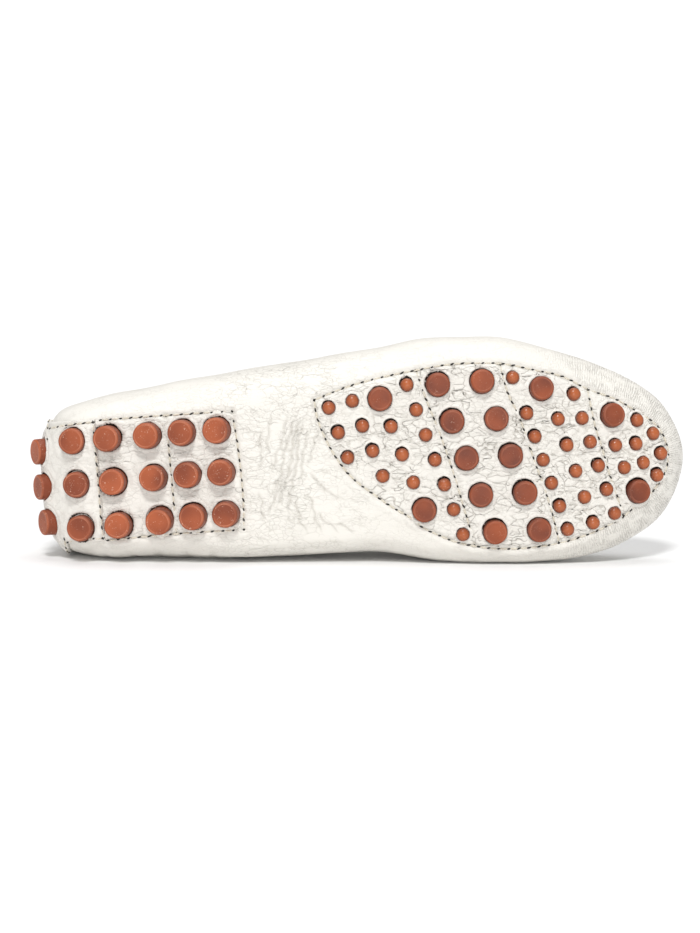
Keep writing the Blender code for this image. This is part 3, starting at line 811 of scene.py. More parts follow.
@dataclass
class Relief:
    """Height worked into the hide, and the painted shade of each place: in the gaps round the studs and
    along its troughs.
    """

    points: Points
    sole: Points
    height: Points = field(init=False)
    gap_shade: Points = field(init=False)
    fold: Points = field(init=False)

    def __post_init__(self) -> None:
        """Start from a flat hide."""
        self.height = np.zeros(len(self.points))
        self.gap_shade = np.zeros(len(self.points))
        self.fold = np.zeros(len(self.points))

    def near(self, low: Points, high: Points, margin: float) -> NDArray[np.intp]:
        """Sole places within a box in plan.

        Args:
            low: Lower corner.
            high: Upper corner.
            margin: Room added on every side.

        Returns:
            Their indices.
        """
        plan = self.points[:, :2]
        inside_box = np.all((plan > low - margin) & (plan < high + margin), axis=1)
        return np.flatnonzero(inside_box & (self.sole > 0.0))

    def press_crease(self, crease: Crease) -> None:
        """Work one soft trough with raised shoulders into the sole, with painted shade along the trough.

        Args:
            crease: The trough.
        """
        run = smooth_run(crease.run, 1.5 * MM)
        width = crease.width * MM
        depth = crease.depth * MM
        index = self.near(run.min(axis=0), run.max(axis=0), 5 * width)
        if not len(index):
            return
        plan = self.points[index, :2]
        sway = CREASE_SWAY * np.sin(plan[:, ::-1] / CREASE_BEAT)
        gap, along = run_distance(plan + sway, run)
        total = float(np.linalg.norm(np.diff(run, axis=0), axis=1).sum())
        taper = eased(along, 0.0, 0.22 * total) * (1 - eased(along, 0.78 * total, total))
        taper = taper * self.sole[index]
        trough = bell(gap, 0.0, width) * taper
        shoulder = bell(gap, 2.1 * width, 0.9 * width) * taper
        self.height[index] += depth * (0.38 * shoulder - trough)
        # painted shade along the trough
        self.fold[index] = np.maximum(self.fold[index], trough)

    def press_seam(self, run: Points, pitch: float, depth: float, puff: float) -> None:
        """Draw the hide in along a row of stitches, with painted shade along its trough.

        Args:
            run: Needle places in plan.
            pitch: Distance between needle places.
            depth: Depth of the trough.
            puff: Height of the hide that swells beside it.
        """
        index = self.near(run.min(axis=0), run.max(axis=0), 6 * MM)
        gap, along = run_distance(self.points[index, :2], run)
        weight = self.sole[index]
        beat = 0.5 - 0.5 * np.cos(2 * math.pi * along / pitch)
        trough = bell(gap, 0.0, 0.75 * MM) * (0.75 + 0.25 * (1 - beat))
        swell = bell(gap, 2.1 * MM, 1.25 * MM) * (0.55 + 0.45 * beat)
        self.height[index] += weight * (puff * swell - depth * trough)
        # painted shade along the stitch trough
        self.fold[index] = np.maximum(self.fold[index], 0.55 * trough * weight)

    def punch(self, stud: Stud, number: int, shape: StudShape, slack: float) -> None:
        """Open the hide round a stud and pucker it outside, with painted shade in the gap round the stud
        and in the trough outside.

        Args:
            stud: The stud.
            number: Its number, which varies the pucker.
            shape: Sizes of the studs.
            slack: Clearance of the punched edge.
        """
        foot = np.array(stud.matrix.translation)
        axis = np.array(stud.matrix.to_3x3() @ Vector((0, 0, 1)))
        radius = shape.radius[stud.kind]
        offset = self.points - foot
        index = np.flatnonzero((np.abs(offset) < radius + 6 * MM).all(axis=1))
        offset = offset[index]
        rise = offset @ axis
        flat = offset - rise[:, None] * axis
        shift = np.array([0.0, -0.22 * MM, 0.0]) * (1.0 + math.sin(1.7 * number))
        flat = flat - shift
        gap = np.linalg.norm(flat, axis=1) - radius
        turn = np.arctan2(flat[:, 1], flat[:, 0])
        waves = (
            np.sin(5 * turn + 1.3 * number)
            + 0.8 * np.sin(8 * turn + 2.1 * number)
            + 0.6 * np.sin(13 * turn + 0.7 * number)
        ) / 2.4
        size = 1.0 if stud.kind is StudKind.DOME else 1.35
        edge = slack * (1.25 + 0.55 * waves)
        rim = bell(gap, 1.7 * size * MM, 1.1 * size * MM)
        self.height[index] += (0.26 * size + 0.12 * waves) * MM * rim
        hole = 1 - eased(gap, 0.2 * slack, 1.6 * slack)
        self.height[index] -= 1.5 * MM * hole
        # painted shade: the gap between the stud and the ragged punched edge turns near black
        self.gap_shade[index] = np.maximum(self.gap_shade[index], 1 - eased(gap - edge, -0.1 * MM, 0.22 * MM))
        outer = bell(gap, (3.0 + 0.5 * waves) * size * MM, 0.8 * MM) * (0.5 + 0.5 * waves)
        self.height[index] -= 0.16 * MM * outer
        # painted shade in the trough round the pucker
        self.fold[index] = np.maximum(self.fold[index], 0.35 * outer)

    def ripple(self, scale: float, depth: float, seed: float, weight: Points) -> None:
        """Add slow unevenness.

        Args:
            scale: Size of the swells.
            depth: Their height.
            seed: Offset of the pattern.
            weight: Share of the height at each place.
        """
        shift = Vector((seed, 2 * seed, 3 * seed))
        for index in np.flatnonzero(weight > 0.0):
            place = Vector(self.points[index]) / scale + shift
            self.height[index] += depth * weight[index] * noise.noise(place)


class Bench:
    """Workbench for one node material."""

    def __init__(self, name: str) -> None:
        """Start a material.

        Args:
            name: Its name.
        """
        self.material = bpy.data.materials.new(name)
        self.material.use_nodes = True
        self.tree = self.material.node_tree
        self.shader = self.tree.nodes["Principled BSDF"]
        self.place = self.node("ShaderNodeTexCoord").outputs["Object"]

    def feed(self, socket: Socket, value: object) -> None:
        """Link or set one input.

        Args:
            socket: The input.
            value: An output to link, or a plain value.
        """
        if isinstance(value, Socket):
            self.tree.links.new(value, socket)
        else:
            socket.default_value = value

    def node(self, kind: str, inputs: dict | None = None, **settings: object) -> bpy.types.Node:
        """Add a node.

        Args:
            kind: Blender's name of the node.
            inputs: Values or sockets by input name or number.
            **settings: Properties of the node.

        Returns:
            The node.
        """
        node = self.tree.nodes.new(kind)
        for name, value in settings.items():
            setattr(node, name, value)
        for key, value in (inputs or {}).items():
            self.feed(node.inputs[key], value)
        return node

    def warped(
        self, scale: float, amount: float, stretch: tuple[float, float, float] = (1.0, 1.0, 1.0)
    ) -> Socket:
        """Object place pushed about by soft noise, so that no pattern runs straight.

        Args:
            scale: Scale of the noise.
            amount: How far it pushes.
            stretch: Share of each axis, under 1 where the pattern runs long.

        Returns:
            The pushed place.
        """
        cloud = self.node("ShaderNodeTexNoise", {"Vector": self.place, "Scale": scale, "Detail": 2.0})
        centred = self.node(
            "ShaderNodeVectorMath", {0: cloud.outputs["Color"], 1: (0.5, 0.5, 0.5)}, operation="SUBTRACT"
        )
        pushed = self.node(
            "ShaderNodeVectorMath", {0: centred.outputs[0], "Scale": amount}, operation="SCALE"
        )
        drawn = self.node("ShaderNodeVectorMath", {0: self.place, 1: stretch}, operation="MULTIPLY")
        moved = self.node(
            "ShaderNodeVectorMath", {0: drawn.outputs[0], 1: pushed.outputs[0]}, operation="ADD"
        )
        return moved.outputs[0]

    def folds(self, place: Socket, scale: float) -> Socket:
        """Distance from long loose lines where soft noise crosses its middle."""
        fog = self.cloud(place, scale, 2.5)
        return self.maths("ABSOLUTE", self.maths("SUBTRACT", fog, 0.5))

    def cloud(
        self, place: Socket, scale: float, detail: float = 2.0
    ) -> Socket:
        """Soft noise from 0 to 1.

        Args:
            place: Where it is read.
            scale: Waves per metre.
            detail: How many finer waves it carries.

        Returns:
            The noise.
        """
        return self.node(
            "ShaderNodeTexNoise", {"Vector": place, "Scale": scale, "Detail": detail}
        ).outputs["Fac"]

    def cells(self, place: Socket, scale: float) -> Socket:
        """Distance to the border of irregular cells.

        Args:
            place: Where it is read.
            scale: Cells per metre.

        Returns:
            The distance, in parts of a cell.
        """
        return self.node(
            "ShaderNodeTexVoronoi", {"Vector": place, "Scale": scale}, feature="DISTANCE_TO_EDGE"
        ).outputs["Distance"]

    def maths(self, operation: str, first: object, second: object = 0.0) -> Socket:
        """Arithmetic on one or two values."""
        return self.node("ShaderNodeMath", {0: first, 1: second}, operation=operation).outputs[0]

    def times(self, first: object, second: object) -> Socket:
        """Product of two values."""
        return self.maths("MULTIPLY", first, second)

    def ramp(
        self, value: object, low: float, high: float, to_low: float = 0.0, to_high: float = 1.0
    ) -> Socket:
        """Smooth clamped change of range.

        Args:
            value: What is changed.
            low: Where the change starts.
            high: Where the change ends.
            to_low: Result at and below its start.
            to_high: Result at and past its end.

        Returns:
            The changed value.
        """
        return self.node(
            "ShaderNodeMapRange",
            {"Value": value, "From Min": low, "From Max": high, "To Min": to_low, "To Max": to_high},
            interpolation_type="SMOOTHSTEP",
        ).outputs["Result"]

    def blend(self, share: object, first: object, second: object) -> Socket:
        """Mix of two colours.

        Args:
            share: Share of the second.
            first: Colour at share 0.
            second: Colour at share 1.

        Returns:
            The mixed colour.
        """
        inputs = {0: share}
        for number, value in ((6, first), (7, second)):
            inputs[number] = (*value, 1.0) if isinstance(value, tuple) else value
        return self.node("ShaderNodeMix", inputs, data_type="RGBA").outputs[2]

    def reading(self, name: str) -> Socket:
        """Value stored in the mesh."""
        return self.node("ShaderNodeAttribute", attribute_name=name).outputs["Fac"]

    def bump(
        self, height: Socket, distance: float, below: Socket | None
    ) -> Socket:
        """Raise a height pattern over the bump below it.

        Args:
            height: The pattern.
            distance: Metres that its full height stands for.
            below: Normal of the bump below, or None.

        Returns:
            The raised normal.
        """
        inputs = {"Height": height, "Distance": distance, "Strength": 1.0}
        if below is not None:
            inputs["Normal"] = below
        return self.node("ShaderNodeBump", inputs).outputs["Normal"]


class CreaseNet(NamedTuple):
    """Net of thin broken creases in leather; sizes in metres, line width in parts of a cell, dark the
    share of painted shade in its lines.

    A wavy net runs in long loose folds, any other one closes into cells. A fine net also covers
    leather that is little worked.
    """

    cell: float
    width: float
    patch: float
    depth: float
    dark: float
    wavy: bool = False
    fine: bool = False


CREASE_NETS = (
    CreaseNet(0.0052, 0.020, 0.0100, 0.00042, 0.58, wavy=True),
    CreaseNet(0.0031, 0.055, 0.0080, 0.00027, 0.42),
    CreaseNet(0.0014, 0.095, 0.0055, 0.00009, 0.28, fine=True),
)


@dataclass(frozen=True)
class LeatherFinish:
    """Pebbled or smooth leather with painted shade in its creases, troughs and stud gaps; lengths in
    metres.
    """

    name: str
    tone: Colour = (0.80, 0.775, 0.72)
    shade: Colour = (0.33, 0.30, 0.25)
    gap_shade: Colour = (0.030, 0.022, 0.017)
    pebble: float = 0.00075
    pebble_depth: float = 0.00007
    crease_share: float = 1.0
    roughness: float = 0.46
    coat: float = 0.06
    wander: float = 0.0022
    gather: float = 0.00105
    gather_depth: float = 0.00012
    gather_sway: float = 12.0
    sharp_share: float = 0.6
    stretch: tuple[float, float, float] = (0.52, 1.0, 1.0)

    def make(self) -> bpy.types.Material:
        """Build the material.

        Returns:
            The material.
        """
        bench = Bench(self.name)
        worked = bench.reading("worked")
        warped = bench.warped(150.0, self.wander, self.stretch)
        lightly = bench.ramp(worked, 0.0, 0.35)
        blotch = bench.ramp(bench.cloud(bench.place, 26.0, 2.0), 0.3, 0.7, 0.0, 0.30)
        colour = bench.blend(blotch, self.tone, tuple(0.93 * c for c in self.tone))
        normal = None
        for net in CREASE_NETS:
            cells = bench.folds(warped, 1 / net.cell) if net.wavy else bench.cells(warped, 1 / net.cell)
            crack = bench.ramp(cells, 0.0, net.width, 1.0, 0.0)
            patchy = bench.ramp(bench.cloud(warped, 1 / net.patch, 3.0), 0.38, 0.56)
            share = bench.times(patchy, lightly if net.fine else worked)
            line = bench.times(crack, share)
            soft = bench.ramp(cells, 0.0, 4 * net.width, 1.0, 0.0)
            sunk = bench.times(soft, share)
            sharp = bench.times(line, -self.sharp_share)
            broad = bench.times(sunk, self.sharp_share - 1.0)
            drop = bench.maths("ADD", sharp, broad)
            normal = bench.bump(drop, net.depth * self.crease_share, normal)
            # painted shade: the crease lines take the shade colour
            dark = bench.times(line, net.dark * self.crease_share)
            colour = bench.blend(dark, colour, self.shade)
        pebbles = bench.ramp(bench.cells(warped, 1 / self.pebble), 0.0, 0.35)
        pores = bench.cloud(bench.place, 3.0 / self.pebble, 3.0)
        grain = bench.maths("ADD", bench.times(pebbles, 0.6), bench.times(pores, 0.4))
        normal = bench.bump(grain, self.pebble_depth, normal)
        sway = bench.times(bench.cloud(bench.place, 420.0, 2.0), self.gather_sway)
        beat = bench.times(bench.reading("run"), math.tau / self.gather)
        turns = bench.maths("ADD", beat, sway)
        patchy = bench.ramp(bench.cloud(warped, 300.0, 3.0), 0.30, 0.62, 0.25, 1.0)
        drawn_in = bench.times(bench.reading("gather"), patchy)
        gather = bench.times(bench.maths("SINE", turns), drawn_in)
        bench.feed(bench.shader.inputs["Normal"], bench.bump(gather, self.gather_depth, normal))
        # painted shade in the hollows of the toe's gathers
        hollow = bench.ramp(gather, -1.0, -0.1, 1.0, 0.0)
        furrow = bench.times(hollow, bench.reading("gather"))
        colour = bench.blend(bench.times(furrow, 0.42), colour, self.shade)
        # painted shade along the troughs of creases, seams and puckers
        fold_share = bench.times(bench.reading("fold"), 0.36)
        colour = bench.blend(fold_share, colour, self.shade)
        # painted shade: a ragged, near-black ring in the gap round each stud
        fray = bench.ramp(bench.cloud(bench.place, 1400.0), 0.3, 0.7, -0.25, 0.25)
        gap_shaded = bench.reading("gap_shade")
        ragged = bench.ramp(bench.maths("ADD", gap_shaded, fray), 0.35, 0.75)
        dark = bench.times(ragged, bench.ramp(gap_shaded, 0.02, 0.1))
        colour = bench.blend(dark, colour, self.gap_shade)
        bench.feed(bench.shader.inputs["Base Color"], colour)
        rough = bench.ramp(grain, 0.2, 0.9, self.roughness + 0.12, self.roughness - 0.04)
        bench.feed(bench.shader.inputs["Roughness"], rough)
        bench.shader.inputs["Coat Weight"].default_value = self.coat
        bench.shader.inputs["Coat Roughness"].default_value = 0.35
        return bench.material


@dataclass(frozen=True)
class RubberFinish:
    """Moulded terracotta rubber with worn edges painted lighter, partly as a painted highlight, pale
    specks, and painted shade towards the domes' bases.
    """

    name: str
    tone: Colour
    wear_and_highlight: Colour
    dull: Colour
    dome: Colour
    roughness: float = 0.46
    dome_roughness: float = 0.20
    specks: float = 0.35

    def make(self) -> bpy.types.Material:
        """Build the material.

        Returns:
            The material.
        """
        bench = Bench(self.name)
        cast = bench.ramp(bench.cloud(bench.place, 60.0, 2.0), 0.3, 0.7)
        colour = bench.blend(cast, self.tone, self.dull)
        scuff = bench.ramp(bench.cloud(bench.place, 420.0, 6.0), 0.46, 0.70)
        domed = bench.reading("dome")
        colour = bench.blend(domed, colour, self.dome)
        # tone reading: a random tone per stud, painted shade that darkens each dome towards its base,
        # and darker disc walls
        tone_share = bench.times(bench.reading("tone"), 0.55)
        colour = bench.blend(tone_share, colour, self.dull)
        # worn edge painted lighter, partly a painted highlight on the bevel
        edge = bench.times(bench.reading("rim"), 0.85)
        colour = bench.blend(edge, colour, self.wear_and_highlight)
        dots = bench.ramp(bench.cloud(bench.place, 1900.0, 2.0), 0.60, 0.68)
        marks = bench.times(bench.times(dots, scuff), self.specks)
        colour = bench.blend(marks, colour, (0.86, 0.60, 0.46))
        bench.feed(bench.shader.inputs["Base Color"], colour)
        satin = bench.ramp(domed, 0.0, 1.0, self.roughness, self.dome_roughness)
        rough = bench.maths("ADD", satin, bench.times(scuff, 0.14))
        bench.shader.inputs["Specular IOR Level"].default_value = 0.30
        bench.feed(bench.shader.inputs["Roughness"], rough)
        skin = bench.bump(bench.cloud(bench.place, 900.0, 4.0), 0.00006, None)
        bench.feed(bench.shader.inputs["Normal"], skin)
        return bench.material


@dataclass(frozen=True)
class ThreadFinish:
    """Twisted waxed thread."""

    name: str
    tone: Colour
    shade: Colour
    roughness: float = 0.6

    def make(self) -> bpy.types.Material:
        """Build the material.

        Returns:
            The material.
        """
        bench = Bench(self.name)
        wave = bench.node(
            "ShaderNodeTexWave",
            {"Vector": bench.place, "Scale": 900.0, "Distortion": 2.0},
            bands_direction="DIAGONAL",
        ).outputs["Fac"]
        bench.feed(bench.shader.inputs["Base Color"], bench.blend(wave, self.shade, self.tone))
        matt = bench.ramp(wave, 0.0, 1.0, self.roughness + 0.1, self.roughness)
        bench.feed(bench.shader.inputs["Roughness"], matt)
        bench.feed(bench.shader.inputs["Normal"], bench.bump(wave, 0.00008, None))
        return bench.material


class Maker:
    """Shares the last, the finishes and the way to add a piece."""

    def __init__(self, last: Last) -> None:
        """Build every finish once.

        Args:
            last: The last that every piece follows.
        """
        self.last = last
        self.hide = LeatherFinish("hide_leather").make()
        self.apron = LeatherFinish("apron_leather", crease_share=0.6).make()
        self.tab = LeatherFinish(
            "tab_leather", pebble=0.0009, pebble_depth=0.00004, crease_share=0.5
        ).make()
        self.binding = LeatherFinish(
            "binding_leather", tone=(0.79, 0.765, 0.70), pebble_depth=0.00004, crease_share=0.3
        ).make()
        self.lining = LeatherFinish(
            "lining_leather", tone=(0.74, 0.68, 0.56), crease_share=0.25, pebble_depth=0.00003,
            roughness=0.62, coat=0.0,
        ).make()
        self.sock = LeatherFinish(
            "sock_leather", tone=(0.72, 0.62, 0.48), crease_share=0.2, pebble_depth=0.00003,
            roughness=0.58, coat=0.0,
        ).make()
        self.fore_rubber = RubberFinish(
            "forefoot_rubber", tone=(0.325, 0.074, 0.026), wear_and_highlight=(0.40, 0.135, 0.075),
            dull=(0.150, 0.038, 0.020), dome=(0.43, 0.118, 0.042), specks=0.30,
        ).make()
        self.heel_rubber = RubberFinish(
            "heel_rubber", tone=(0.440, 0.110, 0.042), wear_and_highlight=(0.60, 0.23, 0.13),
            dull=(0.215, 0.051, 0.023), dome=(0.36, 0.086, 0.033), specks=0.7,
        ).make()
        self.thread = ThreadFinish("waxed_thread", (0.80, 0.75, 0.64), (0.60, 0.54, 0.43)).make()
        # near-black finish of the slits, painted shade of the needle holes
        self.needle = ThreadFinish("needle_hole_shade", (0.030, 0.024, 0.018), (0.012, 0.010, 0.008)).make()

    def add(
        self,
        name: str,
        points: Points,
        faces: Sequence[Sequence[int]],
        material: bpy.types.Material,
        readings: dict[str, Points] | None = None,
        merge: float = 0.0,
    ) -> bpy.types.Object:
        """Lay a piece down and let it ride on the shoe.

        Args:
            name: Name of the piece.
            points: Its points in the shoe's own frame.
            faces: Its faces.
            material: Its finish.
            readings: Values per point for the finish.
            merge: Distance under which twin points are joined.

        Returns:
            The piece.
        """
        mesh = bpy.data.meshes.new(name)
        mesh.from_pydata(self.last.pressed(points).tolist(), [], faces)
        for key, values in (readings or {}).items():
            store = mesh.attributes.new(key, "FLOAT", "POINT")
            store.data.foreach_set("value", np.asarray(values, np.float32))
        if merge:
            work = bmesh.new()
            work.from_mesh(mesh)
            bmesh.ops.remove_doubles(work, verts=work.verts, dist=merge)
            bmesh.ops.dissolve_degenerate(work, edges=work.edges, dist=merge)
            work.to_mesh(mesh)
            work.free()
        mesh.polygons.foreach_set("use_smooth", [True] * len(mesh.polygons))
        mesh.transform(self.last.matrix)
        mesh.materials.append(material)
        piece = bpy.data.objects.new(name, mesh)
        bpy.context.scene.collection.objects.link(piece)
        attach(piece, BODY)
        triangles = sum(len(face.vertices) - 2 for face in mesh.polygons)
        LOG.info("%s: %d triangles", name, triangles)
        return piece


def slab(
    points: Points, faces: Sequence[Sequence[int]], outer: Points, inner: Points
) -> tuple[Points, list[tuple[int, ...]]]:
    """Close a sheet between its outer and inner face.

    Args:
        points: Kept for their number; one outer and one inner point each.
        faces: Faces of the sheet, outward.
        outer: Outer place of each point.
        inner: Inner place of each point.

    Returns:
        Points and faces of the closed sheet.
    """
    count = len(points)
    closed = [tuple(face) for face in faces]
    closed += [tuple(corner + count for corner in reversed(face)) for face in faces]
    edges = set()
    for face in faces:
        for first, second in zip(face, (*face[1:], face[0])):
            edges.add((first, second))
    for first, second in edges:
        if (second, first) not in edges:
            closed.append((second, first, first + count, second + count))
    return np.concatenate([outer, inner]), closed


@dataclass
class Hide:
    """Pebbled body wrapped under the foot, with its creases, punched holes and rolled rim."""

    last: Last
    studs: StudPlan
    shape: StudShape
    columns: int = 800
    crowd: float = 1.3
    wall: float = 0.0018
    pocket: float = 0.0026
    slack: float = 0.0003
    stitch_pitch: float = 0.0040
    gather_pitch: float = 0.0046
    dents: tuple[float, ...] = (22.0, 33.0, 43.0, 54.5, 64.5)
    tree: BVHTree | None = None

    def rows(self) -> Points:
        """Rows of the grid, close on the sole and wider on the wall.

        Returns:
            Rising row values.
        """
        spans = ((0.0, 2.0, 46), (2.0, 5.0, 26), (5.0, 7.0, 26), (7.0, 8.0, 7))
        parts = [np.linspace(low, high, count, endpoint=False) for low, high, count in spans]
        return np.concatenate([*parts, [RIM_ROW]])

    def worked(self, patch: Patch) -> tuple[Relief, Points]:
        """Work every crease, hole and seam into the hide, with the painted shade that goes with them.

        Args:
            patch: The hide's smooth face.

        Returns:
            The relief, and how crinkled each place is.
        """
        flat = patch.points.reshape(-1, 3)
        row = np.broadcast_to(patch.rows, patch.points.shape[:2]).reshape(-1)
        station = np.repeat(patch.stations, len(patch.rows))
        run = np.repeat(patch.girth_run, len(patch.rows))
        sole = 1 - eased(row, 4.0, 5.0)
        relief = Relief(flat, sole)
        toe = eased(np.abs((station + TOE) % (2 * TOE) - TOE), 8.5, 11.5)
        wall = eased(row, 4.2, 6.2)
        calm = 1 - 0.9 * (1 - eased(flat[:, 0], 0.018, 0.030))
        relief.ripple(0.016, 0.45 * MM, 1.0, calm)
        relief.ripple(0.007, 0.20 * MM, 5.0, sole * calm)
        for crease in (*CREASES, *self.links()):
            relief.press_crease(crease)
        fore = np.array(FORE_OUTLINE) * (self.last.length, self.last.half_ball)
        heel = np.array(HEEL_OUTLINE) * (self.last.length, self.last.half_ball)
        pitch = self.stitch_pitch
        relief.press_seam(smooth_run(FORE_SEAM, pitch, True), pitch, 0.55 * MM, 0.45 * MM)
        for marks in (*FORE_BARS, *HEEL_SEAMS):
            relief.press_seam(smooth_run(marks, pitch), pitch, 0.50 * MM, 0.32 * MM)
        for number, stud in enumerate([*self.studs.fore, *self.studs.heel]):
            relief.punch(stud, number, self.shape, self.slack)
        beat = np.sin(2 * math.pi * run / 2.9e-3 + 2.4 * np.sin(run * 140))
        folded = toe * wall * (1 - 0.5 * eased(row, 6.6, 7.2)) * (0.55 + 0.45 * np.sin(run * 260))
        relief.height += 0.34 * MM * folded * beat
        # painted shade in the furrows of the toe wall's gathers
        relief.fold = np.maximum(relief.fold, 0.40 * folded * eased(-beat, 0.2, 1.0))
        band = bell(row, 4.3, 1.1) * (flat[:, 1] > 0.0)
        for centre in self.dents:
            slanted = flat[:, 0] - 0.10 * flat[:, 2]
            relief.height -= 0.42 * MM * band * bell(slanted, centre * MM, 1.5 * MM)
        gather = 0.5 + 0.5 * np.cos(2 * math.pi * run / self.gather_pitch)
        throat = eased(np.abs((station + TOE) % (2 * TOE) - TOE), THROAT - 0.3, THROAT + 0.6)
        near_lip = eased(row, 6.0, 7.0) * (1 - 0.6 * eased(row, 7.2, 8.0))
        relief.height += (0.35 + 0.45 * toe) * MM * throat * near_lip * (gather - 0.5)
        plan = flat[:, :2]
        patched = (inside(plan, fore) | inside(plan, heel)) * sole
        waist = bell(flat[:, 0], 0.098, 0.022) * sole
        forefoot = eased(flat[:, 0], 0.105, 0.150)
        crinkled = np.clip(0.16 + (0.34 + 0.50 * forefoot) * patched + 0.34 * waist, 0.0, 1.0)
        crinkled *= 1 - 0.55 * wall * (1 - toe)
        return relief, crinkled

    def links(self) -> list[Crease]:
        """Creases that run from one forefoot stud to the next.

        Returns:
            One bowed crease for each chosen pair of neighbours.
        """
        width, depth = LINK_CREASE
        creases = []
        for number, first in enumerate(self.studs.fore):
            for other, second in enumerate(self.studs.fore[number + 1:], number + 1):
                start = np.array(first.matrix.translation)[:2]
                step = np.array(second.matrix.translation)[:2] - start
                gap = float(np.linalg.norm(step))
                chance = math.sin(78.233 * number + 12.9898 * other)
                if not LINK_NEAR < gap < LINK_FAR or chance < -0.1:
                    continue
                near = (self.shape.radius[first.kind] + LINK_CLEAR) / gap
                far = 1 - (self.shape.radius[second.kind] + LINK_CLEAR) / gap
                bow = np.array([-step[1], step[0]]) * LINK_BOW * math.sin(5.7 * number + other)
                marks = [
                    tuple((start + step * share + bow * math.sin(math.pi * share)) / MM)
                    for share in (near, (near + far) / 2, far)
                ]
                creases.append(Crease(width, depth * (1 + 0.5 * chance), tuple(marks)))
        return creases

    def make(self, maker: Maker) -> None:
        """Build the hide and the lining behind it.

        Args:
            maker: Shares finishes and adds the pieces.
        """
        patch = self.last.patch(self.last.even_stations(self.columns, self.crowd), self.rows(), True)
        relief, crinkled = self.worked(patch)
        size = patch.points.shape[:2]
        heights = relief.height.reshape(size)
        twin = (-np.arange(size[0])) % size[0]
        heights[:, 0] = (heights[:, 0] + heights[twin, 0]) / 2
        outer = self.last.pressed(patch.moved(heights))
        rolled, extra = self.rim_roll(patch, outer)
        points = np.concatenate([outer, rolled], axis=1)
        grid = Patch(points, points, patch.stations, np.arange(points.shape[1]), patch.girth_run, True)
        pad = ((0, 0), (0, extra))
        row = np.broadcast_to(patch.rows, size)
        station = np.broadcast_to(patch.stations[:, None], size)
        toe = eased(np.abs((station + TOE) % (2 * TOE) - TOE), 8.6, 10.6)
        gather = toe * eased(row, 1.95, 2.6) * (1 - 0.6 * eased(row, 6.6, 7.6))
        girth = np.broadcast_to(patch.girth_run[:, None], size)
        # finish readings, two of which carry painted shade: in the gaps round the studs and along the
        # troughs
        readings = {
            "gather": np.pad(gather, pad).reshape(-1),
            "run": np.pad(girth, pad, mode="edge").reshape(-1),
            "gap_shade": np.pad(relief.gap_shade.reshape(size), pad).reshape(-1),
            "fold": np.pad(relief.fold.reshape(size), pad).reshape(-1),
            "worked": np.pad(crinkled.reshape(size), pad, constant_values=0.2).reshape(-1),
        }
        flat = points.reshape(-1, 3)
        faces = grid.faces()
        self.tree = BVHTree.FromPolygons([Vector(point) for point in flat], faces)
        hide = maker.add("hide", flat, faces, maker.hide, readings, 2e-6)
        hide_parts("upper")
        self.make_lining(maker)

    def rim_roll(self, patch: Patch, outer: Points) -> tuple[Points, int]:
        """Turn the hide's edge over into the shoe.

        Args:
            patch: The hide's smooth face.
            outer: Its worked face.

        Returns:
            Points of the turned edge, and how many rows they are.
        """
        rim = outer[:, -1]
        upward = unit(outer[:, -1] - outer[:, -4])
        inward = -patch.normals[:, -1]
        half = self.wall / 2
        rows = []
        for degrees in (30, 60, 90, 120, 150, 180):
            turn = math.radians(degrees)
            rows.append(
                rim + inward * half * (1 - math.cos(turn)) + upward * (half * math.sin(turn))
            )
        for depth in (0.0015, 0.0035):
            rows.append(rim + inward * self.wall - upward * depth)
        return np.stack(rows, axis=1), len(rows)

    def make_lining(self, maker: Maker) -> None:
        """Line the inside of the hide.

        Args:
            maker: Shares finishes and adds the piece.
        """
        rows = np.concatenate([np.linspace(0.0, 7.0, 48), [7.45]])
        patch = self.last.patch(self.last.even_stations(260), rows, True)
        from_heel = np.abs((patch.stations + TOE) % (2 * TOE) - TOE)
        pocket = (1 - eased(from_heel, 4.6, 6.0))[:, None] * (1 - eased(rows, 5.2, 6.5))[None, :]
        inner = patch.moved(-self.wall - self.pocket * pocket)
        count = patch.points.shape[0] * patch.points.shape[1]
        faces = [face[::-1] for face in patch.faces()]
        readings = {"worked": np.full(count, 0.6), "fold": np.zeros(count), "gap_shade": np.zeros(count)}
        lining = maker.add("lining", inner.reshape(-1, 3), faces, maker.lining, readings, 2e-6)


